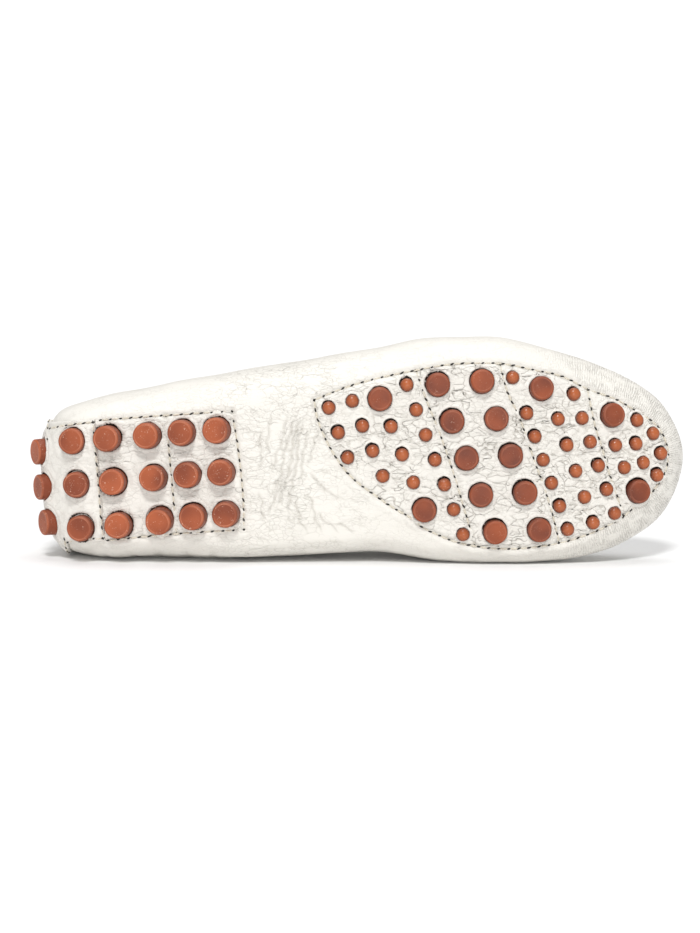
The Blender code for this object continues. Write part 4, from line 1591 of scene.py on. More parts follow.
@dataclass
class RubberStuds:
    """One rubber sheet under the insole and the studs that stand on it."""

    name: str
    node: str
    slot: str
    studs: list[Stud]
    shape: StudShape
    outline: tuple[Place, ...]
    stations: tuple[float, float]
    top: float
    near: float = 0.0027
    rubber: float = 0.0010

    def make(self, maker: Maker, finish: bpy.types.Material) -> None:
        """Build studs and sheet as one piece.

        Args:
            maker: Adds the piece.
            finish: Its rubber.
        """
        points: list[Points] = []
        faces: list[tuple[int, ...]] = []
        rims: list[float] = []
        tones: list[float] = []
        domes: list[float] = []
        for number, stud in enumerate(self.studs):
            self.turn(stud, number, points, faces, rims, tones)
            domes += [float(stud.kind is StudKind.DOME)] * (len(rims) - len(domes))
        base = sum(len(part) for part in points)
        sheet, sheet_faces = self.sheet(maker.last)
        points.append(sheet)
        faces += [tuple(corner + base for corner in face) for face in sheet_faces]
        rims += [0.0] * len(sheet)
        tones += [0.5] * len(sheet)
        domes += [0.0] * len(sheet)
        readings = {"rim": np.array(rims), "tone": np.array(tones), "dome": np.array(domes)}
        piece = maker.add(self.name, np.concatenate(points), faces, finish, readings)
        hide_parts(self.node)

    def turn(
        self,
        stud: Stud,
        number: int,
        points: list[Points],
        faces: list[tuple[int, ...]],
        rims: list[float],
        tones: list[float],
    ) -> None:
        """Turn one stud on its axis.

        Args:
            stud: Which stud.
            number: Its number, which varies its tone and its small unevenness.
            points: Points so far.
            faces: Faces so far.
            rims: Worn edge reading so far, painted lighter partly as a highlight.
            tones: Tone reading so far, which also carries the domes' painted shade.
        """
        marks = self.shape.outline(stud.kind)
        sides = self.shape.dome_sides if stud.kind is StudKind.DOME else self.shape.disc_sides
        base = sum(len(part) for part in points)
        tone = 0.5 + 0.5 * math.sin(12.9898 * (number + 1))
        angles = np.arange(sides) * math.tau / sides
        rows = []
        for level, (radius, height, rim) in enumerate(marks[:-1]):
            wobble = 1 + 0.006 * np.sin(3 * angles + number) + 0.004 * np.sin(5 * angles + 2 * number)
            wide = radius * wobble
            ring = [wide * np.cos(angles), wide * np.sin(angles), np.full(sides, height)]
            ring = np.stack(ring, axis=1)
            rows.append(ring)
            # share of the worn edge, painted lighter partly as a highlight
            wear_and_highlight = rim * (0.6 + 0.4 * np.sin(2 * angles + 1.7 * number))
            rims += wear_and_highlight.tolist()
            walled = level < 3 and stud.kind is not StudKind.DOME
            # domes: painted shade, darker towards the base and lighter at the top; discs: darker walls,
            # a random tone elsewhere
            if stud.kind is StudKind.DOME:
                tones += [0.25 * tone + 1.45 * (radius / self.shape.radius[stud.kind]) ** 3] * sides
            else:
                tones += [1.5 if walled else 0.45 * tone] * sides
            if level:
                low = base + (level - 1) * sides
                for side in range(sides):
                    after = (side + 1) % sides
                    faces.append((low + side, low + after, low + sides + after, low + sides + side))
        tip = base + len(rows) * sides
        rows.append(np.array([[0.0, 0.0, marks[-1][1]]]))
        rims.append(0.0)
        tones.append(0.4 * tone)
        last = tip - sides
        for side in range(sides):
            faces.append((last + side, last + (side + 1) % sides, tip))
        faces.append(tuple(base + side for side in reversed(range(sides))))
        local = np.concatenate(rows)
        turn = np.array(stud.matrix.to_3x3())
        points.append(local @ turn.T + np.array(stud.matrix.translation))

    def sheet(self, last: Last) -> tuple[Points, list[tuple[int, ...]]]:
        """Sheet under the insole.

        Args:
            last: The shoe's surface.

        Returns:
            Points and faces of the closed sheet.
        """
        stations = np.linspace(*self.stations, 90)
        patch = last.patch(stations, np.linspace(0.0, 6.0, 60), False)
        flat = patch.points.reshape(-1, 3)
        outline = np.array(self.outline) * (last.length, last.half_ball)
        kept = inside(flat[:, :2], outline) & (flat[:, 2] < self.top)
        faces = [face for face in patch.faces() if all(kept[corner] for corner in face)]
        normals = patch.normals.reshape(-1, 3)
        used = sorted({corner for face in faces for corner in face})
        new = {old: number for number, old in enumerate(used)}
        faces = [tuple(new[corner] for corner in face) for face in faces]
        flat = flat[used]
        normals = normals[used]
        outer = flat - normals * self.near
        inner = flat - normals * (self.near + self.rubber)
        return slab(flat, faces, outer, inner)


@dataclass
class HeelTab:
    """Smooth leather strip over the heel's end, punched for two rows of studs."""

    studs: list[Stud]
    shape: StudShape
    gap: float = 0.0003
    thickness: float = 0.0011
    round_over: float = 0.0009
    slack: float = 0.0003
    tree: BVHTree | None = None

    def make(self, maker: Maker) -> None:
        """Build the tab.

        Args:
            maker: Shares the last and adds the piece.
        """
        last = maker.last
        patch = last.patch(np.linspace(-5.0, 5.0, 300), np.linspace(0.0, 7.0, 170), False)
        flat = patch.points.reshape(-1, 3)
        normals = patch.normals.reshape(-1, 3)
        outline = np.array(TAB_OUTLINE) * (last.length, last.half_ball)
        kept = inside(flat[:, :2], outline) & (flat[:, 2] < TAB_TOP)
        faces = [face for face in patch.faces() if all(kept[corner] for corner in face)]
        used = sorted({corner for face in faces for corner in face})
        new = {old: number for number, old in enumerate(used)}
        faces = [tuple(new[corner] for corner in face) for face in faces]
        flat = flat[used]
        normals = normals[used]
        ring = np.concatenate([outline, outline[:1]])
        edge, _ = run_distance(flat[:, :2], ring)
        edge = np.minimum(edge, TAB_TOP - flat[:, 2])
        relief = Relief(flat, np.ones(len(flat)))
        relief.ripple(0.012, 0.25 * MM, 9.0, np.ones(len(flat)))
        relief.ripple(0.005, 0.10 * MM, 4.0, np.ones(len(flat)))
        for number, stud in enumerate(self.studs):
            lifted = Stud(stud.kind, stud.matrix @ Matrix.Translation((0, 0, self.thickness)))
            relief.punch(lifted, number, self.shape, self.slack)
        for marks in TAB_SEAMS:
            relief.press_seam(smooth_run(marks, 4 * MM), 4 * MM, 0.35 * MM, 0.20 * MM)
        share = np.clip(edge / self.round_over, 0.0, 1.0)
        rounded = np.sqrt(np.maximum(1 - (1 - share) ** 2, 0.0))
        height = self.gap + self.thickness * rounded + relief.height * share
        outer = last.pressed(flat + normals * height[:, None])
        inner = flat + normals * (self.gap * 0.3)
        points, closed = slab(flat, faces, outer, inner)
        self.tree = BVHTree.FromPolygons([Vector(point) for point in outer], faces)
        # painted shade of the punched gaps and seam troughs, on the outer face only
        readings = {
            "gap_shade": np.concatenate([relief.gap_shade, np.zeros(len(flat))]),
            "fold": np.concatenate([relief.fold, np.zeros(len(flat))]),
            "worked": np.full(2 * len(flat), 0.5),
        }
        tab = maker.add("tab", points, closed, maker.tab, readings, 2e-6)
        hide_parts("heel_tab")


@dataclass
class PunchedLips:
    """Ragged leather edges that stand up round the studs where the hide is punched, with painted shade
    where they drop into the gap.
    """

    hide: BVHTree
    tab: BVHTree
    shape: StudShape
    around: int = 60
    reach: float = 0.0017
    lift: float = 0.00030
    slack: float = 0.00022
    above: float = 0.012
    # rows of reach share, rise and painted shade; the shade is darkest where the edge drops into the gap
    profile: tuple[tuple[float, float, float], ...] = (
        (0.00, -5.5, 1.0), (0.01, -1.2, 0.9), (0.03, 0.2, 0.45), (0.10, 0.85, 0.0),
        (0.26, 1.0, 0.0), (0.50, 0.62, 0.0), (0.75, 0.10, 0.0), (1.00, -0.9, 0.0),
    )

    def ring(self, stud: Stud, number: int, tree: BVHTree) -> tuple[Points, Points] | None:
        """Ragged ring round one stud.

        Args:
            stud: The stud.
            number: Its number, which varies the edge.
            tree: Leather that it is punched through.

        Returns:
            Points, one row of the profile after another, and the painted shade of each, darkest in the
            hole.
        """
        foot = np.array(stud.matrix.translation)
        frame = np.array(stud.matrix.to_3x3())
        axis = frame[:, 2]
        angles = np.arange(self.around) * math.tau / self.around
        spokes = np.cos(angles)[:, None] * frame[:, 0] + np.sin(angles)[:, None] * frame[:, 1]
        waves = (
            np.sin(3 * angles + 1.3 * number)
            + 0.8 * np.sin(7 * angles + 2.1 * number)
            + 0.6 * np.sin(12 * angles + 0.7 * number)
        ) / 2.4
        lean = -spokes[:, 1] * 0.5 - spokes[:, 0] * 0.2
        gape = np.maximum(0.2 + 0.45 * waves + 3.2 * lean * (1 + math.sin(1.7 * number)), 0.05)
        inner = self.shape.radius[stud.kind] + self.slack * gape
        size = 0.85 if stud.kind is StudKind.DOME else 1.15
        reach = self.reach * size * (1 + 0.18 * waves)
        heights = []
        for spoke, radius in zip(spokes, inner + reach):
            start = Vector(foot + spoke * radius + axis * self.above)
            hit, _, _, _ = tree.ray_cast(start, Vector(-axis), 2 * self.above)
            heights.append((np.array(hit) - foot) @ axis if hit is not None else np.nan)
        heights = np.array(heights)
        if np.isnan(heights).any():
            return None
        heights = (heights + np.roll(heights, 1) + np.roll(heights, -1)) / 3
        rows = []
        gap_shades = []
        for share, rise, gap_shade in self.profile:
            up = heights + self.lift * size * rise * (1 + 0.45 * waves * (rise > 0.0))
            rows.append(foot + spokes * (inner + reach * share)[:, None] + axis * up[:, None])
            gap_shades += [gap_shade] * self.around
        return np.concatenate(rows), np.array(gap_shades)

    def make(self, maker: Maker, hidden: Sequence[Stud], tabbed: Sequence[Stud]) -> None:
        """Build every ring as one piece.

        Args:
            maker: Adds the piece.
            hidden: Studs through the hide.
            tabbed: Studs through the heel tab.
        """
        points: list[Points] = []
        gap_shades: list[Points] = []
        faces: list[tuple[int, ...]] = []
        size = self.around
        jobs = [(stud, self.hide) for stud in hidden] + [(stud, self.tab) for stud in tabbed]
        for number, (stud, tree) in enumerate(jobs):
            found = self.ring(stud, number, tree)
            if found is None:
                continue
            base = sum(len(part) for part in points)
            points.append(found[0])
            gap_shades.append(found[1])
            for level in range(len(self.profile) - 1):
                low = base + level * size
                for side in range(size):
                    after = (side + 1) % size
                    faces.append((low + side, low + size + side, low + size + after, low + after))
        flat = np.concatenate(points)
        readings = {
            "gap_shade": np.concatenate(gap_shades), "fold": np.zeros(len(flat)), "worked": np.full(len(flat), 0.35),
        }
        lips = maker.add("punched_lips", flat, faces, maker.hide, readings)


@dataclass
class SeamEdge:
    """The hide's top edge: foot, rim and outward direction in plan for some stations."""

    last: Last

    def read(self, stations: Points) -> tuple[Points, Points, Points]:
        """Foot, rim and outward direction.

        Args:
            stations: Where to read them.

        Returns:
            Foot points, rim points and outward unit vectors in plan.
        """
        both = self.last.skin(stations, np.array([TOP_ROW, RIM_ROW]))
        ahead = self.last.skin(stations + 0.1, np.array([TOP_ROW]))[:, 0]
        behind = self.last.skin(stations - 0.1, np.array([TOP_ROW]))[:, 0]
        chord = ahead - behind
        outward = unit(np.stack([chord[:, 1], -chord[:, 0], np.zeros(len(chord))], axis=1))
        return both[:, 0], both[:, 1], -outward


@dataclass
class Apron:
    """Plug of the moccasin, its border folded up inside the hide's lip, and the tongue behind it."""

    edge: SeamEdge
    wall: float = 0.0018
    gap: float = 0.0003
    panel: float = 0.0016
    crown_toe: float = 0.22
    crown_throat: float = 0.40
    toe_slope: float = 0.20
    tongue: float = 0.015
    tongue_rise: float = 0.0044
    tongue_width: float = 0.84
    toe_round: float = 0.022
    stations: int = 150
    strips: int = 26

    def make(self, maker: Maker) -> None:
        """Build the apron with its tongue.

        Args:
            maker: Adds the piece.
        """
        half = np.linspace(THROAT, TOE, self.stations)
        foot_m, rim_m, out_m = self.edge.read(half)
        foot_l, rim_l, out_l = self.edge.read(-half)
        inset = self.wall + self.gap
        foot_m, rim_m = foot_m - inset * out_m, rim_m - inset * out_m
        foot_l, rim_l = foot_l - inset * out_l, rim_l - inset * out_l
        middle = (foot_m + foot_l) / 2
        span = (foot_m - foot_l) / 2
        width = np.linalg.norm(span, axis=1)
        share = np.linspace(0.0, 1.0, self.stations)
        tip = middle[-1, 0]
        crown = np.minimum(
            (self.crown_throat + (self.crown_toe - self.crown_throat) * share) * width,
            self.toe_slope * (tip - middle[:, 0]),
        )
        start = middle[0, 0]
        axis_x = start + (middle[:, 0] - start) * (tip - self.toe_round - start) / (tip - start)
        axis_y = np.interp(axis_x, middle[:, 0], middle[:, 1])

        def height(x: Points, y: Points) -> Points:
            """Height of the apron's under face.

            Args:
                x: Places along the shoe.
                y: Places across it.

            Returns:
                One height per place.
            """
            centre = np.interp(x, middle[:, 0], middle[:, 1])
            reach = np.maximum(np.interp(x, middle[:, 0], width), 1e-4)
            rise = np.interp(x, middle[:, 0], crown)
            across = np.clip((y - centre) / reach, -1.0, 1.0)
            return np.interp(x, middle[:, 0], middle[:, 2]) + rise * (1 - across**2)

        order = []
        for foot, rim, out, backward in ((foot_m, rim_m, out_m, False), (foot_l, rim_l, out_l, True)):
            column = self.border(foot, rim, out)
            shares = np.linspace(0.0, 1.0, self.strips + 1)[1:]
            start_points = column[:, -1]
            rows = [column[:, k] for k in range(column.shape[1])]
            base_gap = start_points[:, 2] - height(start_points[:, 0], start_points[:, 1])
            for part in shares:
                x = start_points[:, 0] + (axis_x - start_points[:, 0]) * part
                y = start_points[:, 1] + (axis_y - start_points[:, 1]) * part
                z = height(x, y) + self.panel + (base_gap - self.panel) * (1 - part) ** 6
                rows.append(np.stack([x, y, z], axis=1))
            grid = np.stack(rows, axis=1)
            order.append(grid[::-1] if backward else grid)
        full = np.concatenate([order[0], order[1][1:]])
        faces = grid_faces(*full.shape[:2], False)
        flat = full.reshape(-1, 3)
        tongue, tongue_faces = self.make_tongue(middle[0], span[0], crown[0])
        faces += [tuple(corner + len(flat) for corner in face) for face in tongue_faces]
        points = np.concatenate([flat, tongue])
        count = len(points)
        readings = {"worked": np.full(count, 0.35), "fold": np.zeros(count), "gap_shade": np.zeros(count)}
        piece = maker.add("apron_plug", points, faces, maker.apron, readings, 2e-6)
        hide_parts("apron")

    def border(self, foot: Points, rim: Points, out: Points) -> Points:
        """Folded border from its outer foot over the rim to the fold inside.

        Args:
            foot: Foot of the border.
            rim: Its rim.
            out: Outward direction.

        Returns:
            Grid of points, one column per station.
        """
        upward = unit(rim - foot)
        thick = self.panel
        rows = [foot, foot + (rim - foot) * 0.5]
        for degrees in (0, 36, 72, 108, 144, 180):
            turn = math.radians(degrees)
            rows.append(
                rim - upward * thick / 2
                - out * thick / 2 * (1 - math.cos(turn)) + upward * thick / 2 * math.sin(turn)
            )
        inner = foot - out * thick
        fold = thick * 1.0
        rows.append(inner + upward * (fold + 0.0006))
        for degrees in (0, 30, 60, 90):
            turn = math.radians(degrees)
            rows.append(
                inner + upward * (fold + thick * 0.6 * (1 - math.sin(turn)))
                - out * thick * 0.6 * (1 - math.cos(turn))
            )
        return np.stack(rows, axis=1)

    def make_tongue(
        self, middle: Points, span: Points, crown: float
    ) -> tuple[Points, list[tuple[int, ...]]]:
        """Tongue behind the throat.

        Args:
            middle: Middle of the apron's end.
            span: Half its width.
            crown: Its crown.

        Returns:
            Points and faces of the closed tongue.
        """
        along = np.linspace(-1.0, 0.08, 26)
        across = np.linspace(-1.0, 1.0, 40)
        grid = []
        for t in along:
            narrow = self.tongue_width * (1 - 0.08 * max(-t, 0.0) ** 3)
            narrow *= 1 - 0.24 * max((-t - 0.66) / 0.34, 0.0) ** 2.4
            centre = middle + np.array([t * self.tongue, 0.0, -t * self.tongue_rise])
            rise = crown * (1 - (across * narrow) ** 2)
            row = centre + span * narrow * across[:, None] + np.stack(
                [0 * across, 0 * across, rise], axis=1
            )
            grid.append(row)
        points = np.array(grid)
        columns, rows = points.shape[:2]
        faces = [
            (i * rows + j, (i + 1) * rows + j, (i + 1) * rows + j + 1, i * rows + j + 1)
            for i in range(columns - 1)
            for j in range(rows - 1)
        ]
        normals = unit(np.cross(np.gradient(points, axis=0), np.gradient(points, axis=1)))
        far = np.minimum(
            np.minimum((along - along[0])[:, None] * self.tongue, 1.0),
            (1 - np.abs(across))[None, :] * float(np.linalg.norm(span)),
        )
        share = np.clip(far / 0.0012, 0.0, 1.0)
        rounded = np.sqrt(np.maximum(1 - (1 - share) ** 2, 0.0))
        outer = points + normals * (self.panel * (0.4 + 0.6 * rounded))[..., None]
        inner = points + normals * (self.panel * 0.4 * (1 - rounded))[..., None]
        return slab(points.reshape(-1, 3), faces, outer.reshape(-1, 3), inner.reshape(-1, 3))


@dataclass
class CollarBinding:
    """Thin leather rolled over the collar's edge."""

    edge: SeamEdge
    wall: float = 0.0018
    near: float = 0.00045
    binding: float = 0.0010
    reach: float = 0.85
    last_share: float = 0.50
    columns: int = 300

    def make(self, maker: Maker) -> None:
        """Build the binding.

        Args:
            maker: Adds the piece.
        """
        end = THROAT - (1 - self.last_share) * COARSE_STEP
        stations = np.linspace(-end, end, self.columns)
        foot, rim, out = self.edge.read(stations)
        along = np.gradient(rim, axis=0)
        upward = unit(rim - foot)
        normal = unit(np.cross(along, upward))
        normal *= np.sign(np.sum(normal * out, axis=1))[:, None]
        reach = self.reach * np.linalg.norm(rim - foot, axis=1)
        far = self.near + self.binding
        top = 0.0003 + self.binding
        rows = []
        for share in (1.0, 0.97, 0.75, 0.5, 0.25, 0.0):
            bow = 0.00025 * math.sin(math.pi * share) + (-0.0005 if share == 1.0 else 0.0)
            rows.append(rim + normal * (far + bow) - upward * (reach * share)[:, None])
        middle = -self.wall / 2
        half = far - middle
        for degrees in (22, 45, 67, 90, 113, 135, 158):
            turn = math.radians(degrees)
            rows.append(
                rim + normal * (middle + half * math.cos(turn)) + upward * (top * math.sin(turn))
            )
        for share in (0.0, 0.25, 0.5, 0.75, 0.97, 1.0):
            bow = 0.00025 * math.sin(math.pi * share) + (-0.0005 if share == 1.0 else 0.0)
            rows.append(rim - normal * (self.wall + far + bow) - upward * (reach * share)[:, None])
        inner = -self.wall - self.near
        for across, share in ((inner, 1.0), (inner, 0.0), (self.near, 0.0), (self.near, 1.0)):
            level = rim + normal * across - upward * (reach * share)[:, None]
            rows.append(level + upward * (0.0003 * (1 - share)))
        grid = np.stack(rows, axis=1)
        columns, size = grid.shape[:2]
        faces = []
        for i in range(columns - 1):
            for j in range(size):
                k = (j + 1) % size
                faces.append((i * size + j, (i + 1) * size + j, (i + 1) * size + k, i * size + k))
        faces.append(tuple(range(size)))
        faces.append(tuple(range((columns - 1) * size, columns * size))[::-1])
        count = columns * size
        readings = {"worked": np.full(count, 0.4), "fold": np.zeros(count), "gap_shade": np.zeros(count)}
        piece = maker.add("binding", grid.reshape(-1, 3), faces, maker.binding, readings)
        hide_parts("collar_binding")


@dataclass
class Insole:
    """Sock leather over both rubber sheets."""

    depth: float = 0.0040
    sock: float = 0.0012
    last_row: float = 2.8

    def make(self, maker: Maker) -> None:
        """Build the insole.

        Args:
            maker: Shares the last and adds the piece.
        """
        last = maker.last
        patch = last.patch(last.even_stations(240), np.linspace(0.0, self.last_row, 34), True)
        size = patch.points.shape[:2]
        flat = patch.points.reshape(-1, 3)
        relief = Relief(flat, np.ones(len(flat)))
        relief.ripple(0.02, 0.3 * MM, 2.0, np.ones(len(flat)))
        height = relief.height.reshape(size)
        twin = (-np.arange(size[0])) % size[0]
        height[:, 0] = (height[:, 0] + height[twin, 0]) / 2
        outer = patch.moved(np.full(size, -self.depth))
        inner = patch.moved(height * 0.6 - self.depth - self.sock)
        points, faces = slab(flat, patch.faces(), outer.reshape(-1, 3), inner.reshape(-1, 3))
        count = len(points)
        readings = {"worked": np.full(count, 0.4), "fold": np.zeros(count), "gap_shade": np.zeros(count)}
        piece = maker.add("sock", points, faces, maker.sock, readings, 2e-6)
        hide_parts("insole")


@dataclass
class Needlework:
    """Rows of stitches as two joined pieces: waxed thread, and dark slits that paint the shade in the
    needle holes.
    """

    hide: BVHTree
    tab: BVHTree
    edge: SeamEdge
    pitch: float = 0.0040
    thread: float = 0.00036
    slit: float = 0.00080
    slit_radius: float = 0.00037
    sides: int = 7
    points: list[Points] = field(default_factory=list)
    faces: list[tuple[int, ...]] = field(default_factory=list)
    slit_points: list[Points] = field(default_factory=list)
    slit_faces: list[tuple[int, ...]] = field(default_factory=list)

    def tube(self, path: Points, radii: Points, sink: bool) -> None:
        """Sweep a thread along a path.

        Args:
            path: Centre line.
            radii: Radius at each point of it.
            sink: Whether it is a dark slit of painted needle-hole shade and not a thread.
        """
        points, faces = (self.slit_points, self.slit_faces) if sink else (self.points, self.faces)
        base = sum(len(part) for part in points)
        along = unit(np.gradient(path, axis=0))
        side = unit(np.cross(along, np.array([0.31, 0.17, 0.93])))
        other = np.cross(along, side)
        angles = np.arange(self.sides) * math.tau / self.sides
        spokes = (
            np.cos(angles)[None, :, None] * side[:, None]
            + np.sin(angles)[None, :, None] * other[:, None]
        )
        rings = path[:, None] + radii[:, None, None] * spokes
        points.append(rings.reshape(-1, 3))
        size = self.sides
        for i in range(len(path) - 1):
            for j in range(size):
                k = (j + 1) % size
                low, high = base + i * size, base + (i + 1) * size
                faces.append((low + j, low + k, high + k, high + j))
        faces.append(tuple(base + j for j in reversed(range(size))))
        faces.append(tuple(base + (len(path) - 1) * size + j for j in range(size)))

    def landed(self, tree: BVHTree, place: Points) -> tuple[Points, Points] | None:
        """Where a plan place meets the sole.

        Args:
            tree: Surface to land on.
            place: Plan place.

        Returns:
            Point and outward normal, or None past the surface.
        """
        hit, normal, _, _ = tree.ray_cast(Vector((*place, -FAR)), Vector((0, 0, 1)))
        if hit is None:
            return None
        if normal.z > 0:
            normal = -normal
        return np.array(hit), np.array(normal)

    def sew(self, feet: list[tuple[Points, Points]]) -> None:
        """Sew stitches between needle places.

        Args:
            feet: Point and outward normal of each needle place.
        """
        for number, ((first, lift), (second, lift_after)) in enumerate(zip(feet, feet[1:])):
            out = unit(lift + lift_after)
            step = second - first
            shares = np.linspace(0.17, 0.83, 7)
            arch = 0.00020 * np.sin(math.pi * (shares - 0.17) / 0.66) + 0.00004
            path = first + step * shares[:, None] + out * arch[:, None]
            radii = self.thread * np.array([0.45, 0.85, 1.0, 1.0, 1.0, 0.85, 0.45])
            self.tube(path, radii, False)
        # painted shade: a dark slit at each needle place
        for number, (foot, lift) in enumerate(feet):
            after = feet[min(number + 1, len(feet) - 1)][0]
            before = feet[max(number - 1, 0)][0]
            along = unit(after - before)
            across = np.cross(lift, along)
            slant = unit(along + across * (0.28 + 0.2 * math.sin(2.3 * number)))
            length = self.slit * (1 + 0.25 * math.sin(5.1 * number))
            shares = np.array([-1.0, -0.5, 0.0, 0.5, 1.0])
            rise = 0.00002 + 0.00004 * (1 - np.abs(shares))
            path = foot + slant * (shares * length)[:, None] + lift * rise[:, None]
            radii = self.slit_radius * np.array([0.25, 0.85, 1.0, 0.85, 0.25])
            self.tube(path, radii, True)

    def sew_plan(self, tree: BVHTree, marks: Sequence[Place], closed: bool = False) -> None:
        """Sew along a plan line on the sole.

        Args:
            tree: Surface that is sewn.
            marks: The line, in millimetres.
            closed: Whether it comes back to its start.
        """
        run = smooth_run(marks, self.pitch, closed)
        landed = [self.landed(tree, place) for place in run]
        self.sew([found for found in landed if found is not None])

    def sew_wing(self, x: float, side: int, low: float, high: float) -> None:
        """Sew up the heel tab's wing.

        Args:
            x: Distance of the row from the heel's back.
            side: 1 medial, -1 lateral.
            low: Height where it starts.
            high: Height where it ends.
        """
        feet = []
        for z in np.arange(low, high, self.pitch):
            start = Vector((x, side * FAR, z))
            hit, normal, _, _ = self.tab.ray_cast(start, Vector((0, -side, 0)))
            if hit is not None:
                if normal.y * side < 0:
                    normal = -normal
                feet.append((np.array(hit), np.array(normal)))
        self.sew(feet)

    def whip(self, wall: float, panel: float) -> None:
        """Whip the apron to the hide over the raised lip.

        Args:
            wall: Thickness of the hide.
            panel: Thickness of the apron.
        """
        last = self.edge.last
        places = np.interp([THROAT, 2 * TOE - THROAT], np.arange(2 * TOE + 1), last.knots)
        count = int((places[1] - places[0]) / 0.0046)
        runs = np.linspace(places[0] + 0.002, places[1] - 0.002, count)
        stations = np.interp(runs, last.knots, np.arange(2 * TOE + 1))
        foot, rim, out = self.edge.read(stations)
        upward = unit(rim - foot)
        along = unit(np.cross(upward, out))
        width = wall + panel + 0.0003
        for f, r, o, u, a in zip(foot, rim, out, upward, along):
            centre = r - o * width / 2
            path = [f + o * 0.0002 + u * 0.0002 - a * 0.0006]
            for degrees in (-10, 25, 60, 90, 120, 155, 190):
                turn = math.radians(degrees)
                rise = 0.0005 + 0.0007 * max(math.sin(turn), 0.0)
                shift = a * 0.0009 * (degrees / 190 - 0.5)
                reach = o * (width / 2 + 0.0003) * math.cos(turn)
                path.append(centre + reach + u * rise + shift)
            path.append(f - o * (width + 0.0002) + u * 0.0018 + a * 0.0007)
            self.tube(np.array(path), np.full(len(path), 0.00042), False)

    def sew_collar(self, lift: float, reach: float) -> None:
        """Sew the binding down round the collar.

        Args:
            lift: How far the thread stands off the hide's face.
            reach: Share of the rim's height below the rim where it runs.
        """
        last = self.edge.last
        places = np.interp([THROAT], np.arange(2 * TOE + 1), last.knots)[0] - 0.006
        count = int(2 * places / 0.0034)
        runs = np.linspace(-places, places, count) % last.knots[-1]
        stations = np.interp(runs, last.knots, np.arange(2 * TOE + 1))
        foot, rim, out = self.edge.read(stations)
        upward = unit(rim - foot)
        along = np.gradient(rim, axis=0)
        normal = unit(np.cross(along, upward))
        normal *= np.sign(np.sum(normal * out, axis=1))[:, None]
        line = rim - upward * (np.linalg.norm(rim - foot, axis=1) * reach)[:, None] + normal * lift
        self.sew(list(zip(line, normal)))

    def make(self, maker: Maker) -> None:
        """Add thread and slits.

        Args:
            maker: Adds the pieces.
        """
        thread = maker.add("stitching", np.concatenate(self.points), self.faces, maker.thread)
        # dark slits: painted shade of the needle holes
        slit_points = np.concatenate(self.slit_points)
        slits = maker.add("needle_hole_shade", slit_points, self.slit_faces, maker.needle)


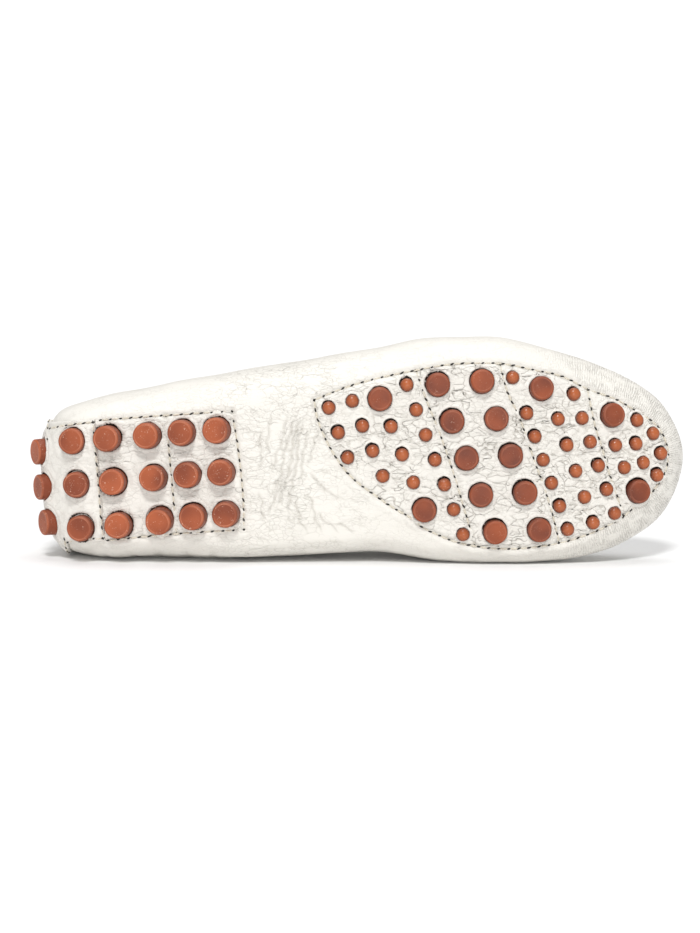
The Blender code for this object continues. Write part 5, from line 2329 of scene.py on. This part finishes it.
@dataclass
class Studio:
    """White floor, soft light and the photograph's camera."""

    azimuth: float = -1.5
    elevation: float = 6.35
    roll: float = 0.41
    distance: float = 1.0
    focal: float = 2473.0
    across: float = -0.00247
    up: float = -0.00433
    target: tuple[float, float, float] = (0.0, 0.0, 0.04)
    image: tuple[int, int] = (700, 933)
    sensor: float = 36.0
    sun: float = 1.70
    sky: float = 0.42
    top: float = 0.98
    front: float = 0.74

    def camera(self) -> None:
        """Place the camera at the photograph's viewing angle."""
        az = math.radians(self.azimuth)
        el = math.radians(self.elevation)
        roll = math.radians(self.roll)
        back = Vector((math.sin(az) * math.cos(el), -math.cos(az) * math.cos(el), math.sin(el)))
        right = Vector((math.cos(az), math.sin(az), 0.0))
        upward = back.cross(right)
        side = math.cos(roll) * right + math.sin(roll) * upward
        top = -math.sin(roll) * right + math.cos(roll) * upward
        target = Vector(self.target) + self.across * right + self.up * upward
        data = bpy.data.cameras.new("camera")
        data.sensor_width = self.sensor
        data.lens = self.focal * self.sensor / max(self.image)
        data.clip_start = 0.01
        camera = bpy.data.objects.new("camera", data)
        turn = Matrix((side, top, back)).transposed().to_4x4()
        camera.matrix_world = Matrix.Translation(target + back * self.distance) @ turn
        bpy.context.scene.collection.objects.link(camera)
        bpy.context.scene.camera = camera

    def floor(self) -> None:
        """Lay the white floor."""
        bench = Bench("studio_floor")
        bench.shader.inputs["Base Color"].default_value = (0.93, 0.93, 0.93, 1.0)
        bench.shader.inputs["Roughness"].default_value = 0.9
        bench.shader.inputs["Specular IOR Level"].default_value = 0.0
        mesh = bpy.data.meshes.new("floor")
        size = 20.0
        corners = [(-size, -size, 0), (size, -size, 0), (size, size, 0), (-size, size, 0)]
        mesh.from_pydata(corners, [], [(0, 1, 2, 3)])
        mesh.materials.append(bench.material)
        floor = bpy.data.objects.new("floor", mesh)
        bpy.context.scene.collection.objects.link(floor)

    def lamp(
        self, name: str, toward: tuple[float, float, float], energy: float, angle: float
    ) -> None:
        """Hang a soft distant lamp.

        Args:
            name: Its name.
            toward: Direction from the shoe to it.
            energy: Strength.
            angle: Apparent size in degrees.
        """
        data = bpy.data.lights.new(name, "SUN")
        data.energy = energy
        data.angle = math.radians(angle)
        lamp = bpy.data.objects.new(name, data)
        lamp.rotation_mode = "QUATERNION"
        lamp.rotation_quaternion = Vector(toward).to_track_quat("Z", "Y")
        bpy.context.scene.collection.objects.link(lamp)

    def world(self) -> None:
        """White surround that the camera sees brighter than the shoe does."""
        world = bpy.data.worlds.new("studio")
        world.use_nodes = True
        tree = world.node_tree
        background = tree.nodes["Background"]
        background.inputs["Color"].default_value = (1.0, 1.0, 1.0, 1.0)
        path = tree.nodes.new("ShaderNodeLightPath")
        strength = tree.nodes.new("ShaderNodeMapRange")
        strength.inputs["To Min"].default_value = self.sky
        strength.inputs["To Max"].default_value = 1.05
        tree.links.new(path.outputs["Is Camera Ray"], strength.inputs["Value"])
        tree.links.new(strength.outputs["Result"], background.inputs["Strength"])
        bpy.context.scene.world = world

    def make(self) -> None:
        """Set up the whole studio."""
        bpy.context.scene.view_settings.view_transform = "Standard"
        self.camera()
        self.floor()
        self.world()
        self.lamp("key", (-0.06, -0.66, 0.75), self.sun, 11.0)
        self.lamp("top", (0.05, 0.12, 1.0), self.top, 35.0)
        self.lamp("front", (0.10, -1.0, 0.10), self.front, 24.0)


def main() -> None:
    """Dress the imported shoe."""
    logging.basicConfig(level=logging.INFO, format="%(message)s")
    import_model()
    last = Last()
    last.settle(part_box("upper")[0])
    maker = Maker(last)
    shape = StudShape()
    plan = StudPlan(last)
    edge = SeamEdge(last)
    hide = Hide(last, plan, shape)
    hide.make(maker)
    RubberStuds(
        "forefoot_rubber", "forefoot_studs", "rubber_forefoot", plan.fore, shape, FORE_OUTLINE,
        (5.0, 2 * TOE - 5.0), FORE_SHEET_TOP,
    ).make(maker, maker.fore_rubber)
    RubberStuds(
        "heel_rubber", "heel_studs", "rubber_heel", plan.heel, shape, HEEL_OUTLINE,
        (-6.0, 6.0), HEEL_SHEET_TOP,
    ).make(maker, maker.heel_rubber)
    tab = HeelTab(plan.tabbed, shape)
    tab.make(maker)
    apron = Apron(edge)
    apron.make(maker)
    binding = CollarBinding(edge)
    binding.make(maker)
    Insole().make(maker)
    tab_count = len(plan.tabbed)
    hidden = [*plan.fore, *plan.heel[tab_count:]]
    PunchedLips(hide.tree, tab.tree, shape).make(maker, hidden, plan.tabbed)
    needle = Needlework(hide.tree, tab.tree, edge)
    needle.sew_plan(hide.tree, FORE_SEAM, True)
    for marks in (*FORE_BARS, *HEEL_SEAMS):
        needle.sew_plan(hide.tree, marks)
    for marks in TAB_SEAMS:
        needle.sew_plan(tab.tree, marks)
    needle.sew_wing(0.0030, -1, 0.012, 0.049)
    needle.sew_wing(0.0078, 1, 0.012, 0.049)
    needle.whip(apron.wall, apron.panel)
    needle.sew_collar(binding.near + binding.binding + 0.0002, 0.62)
    needle.make(maker)
    Studio().make()


if __name__ == "__main__":
    main()
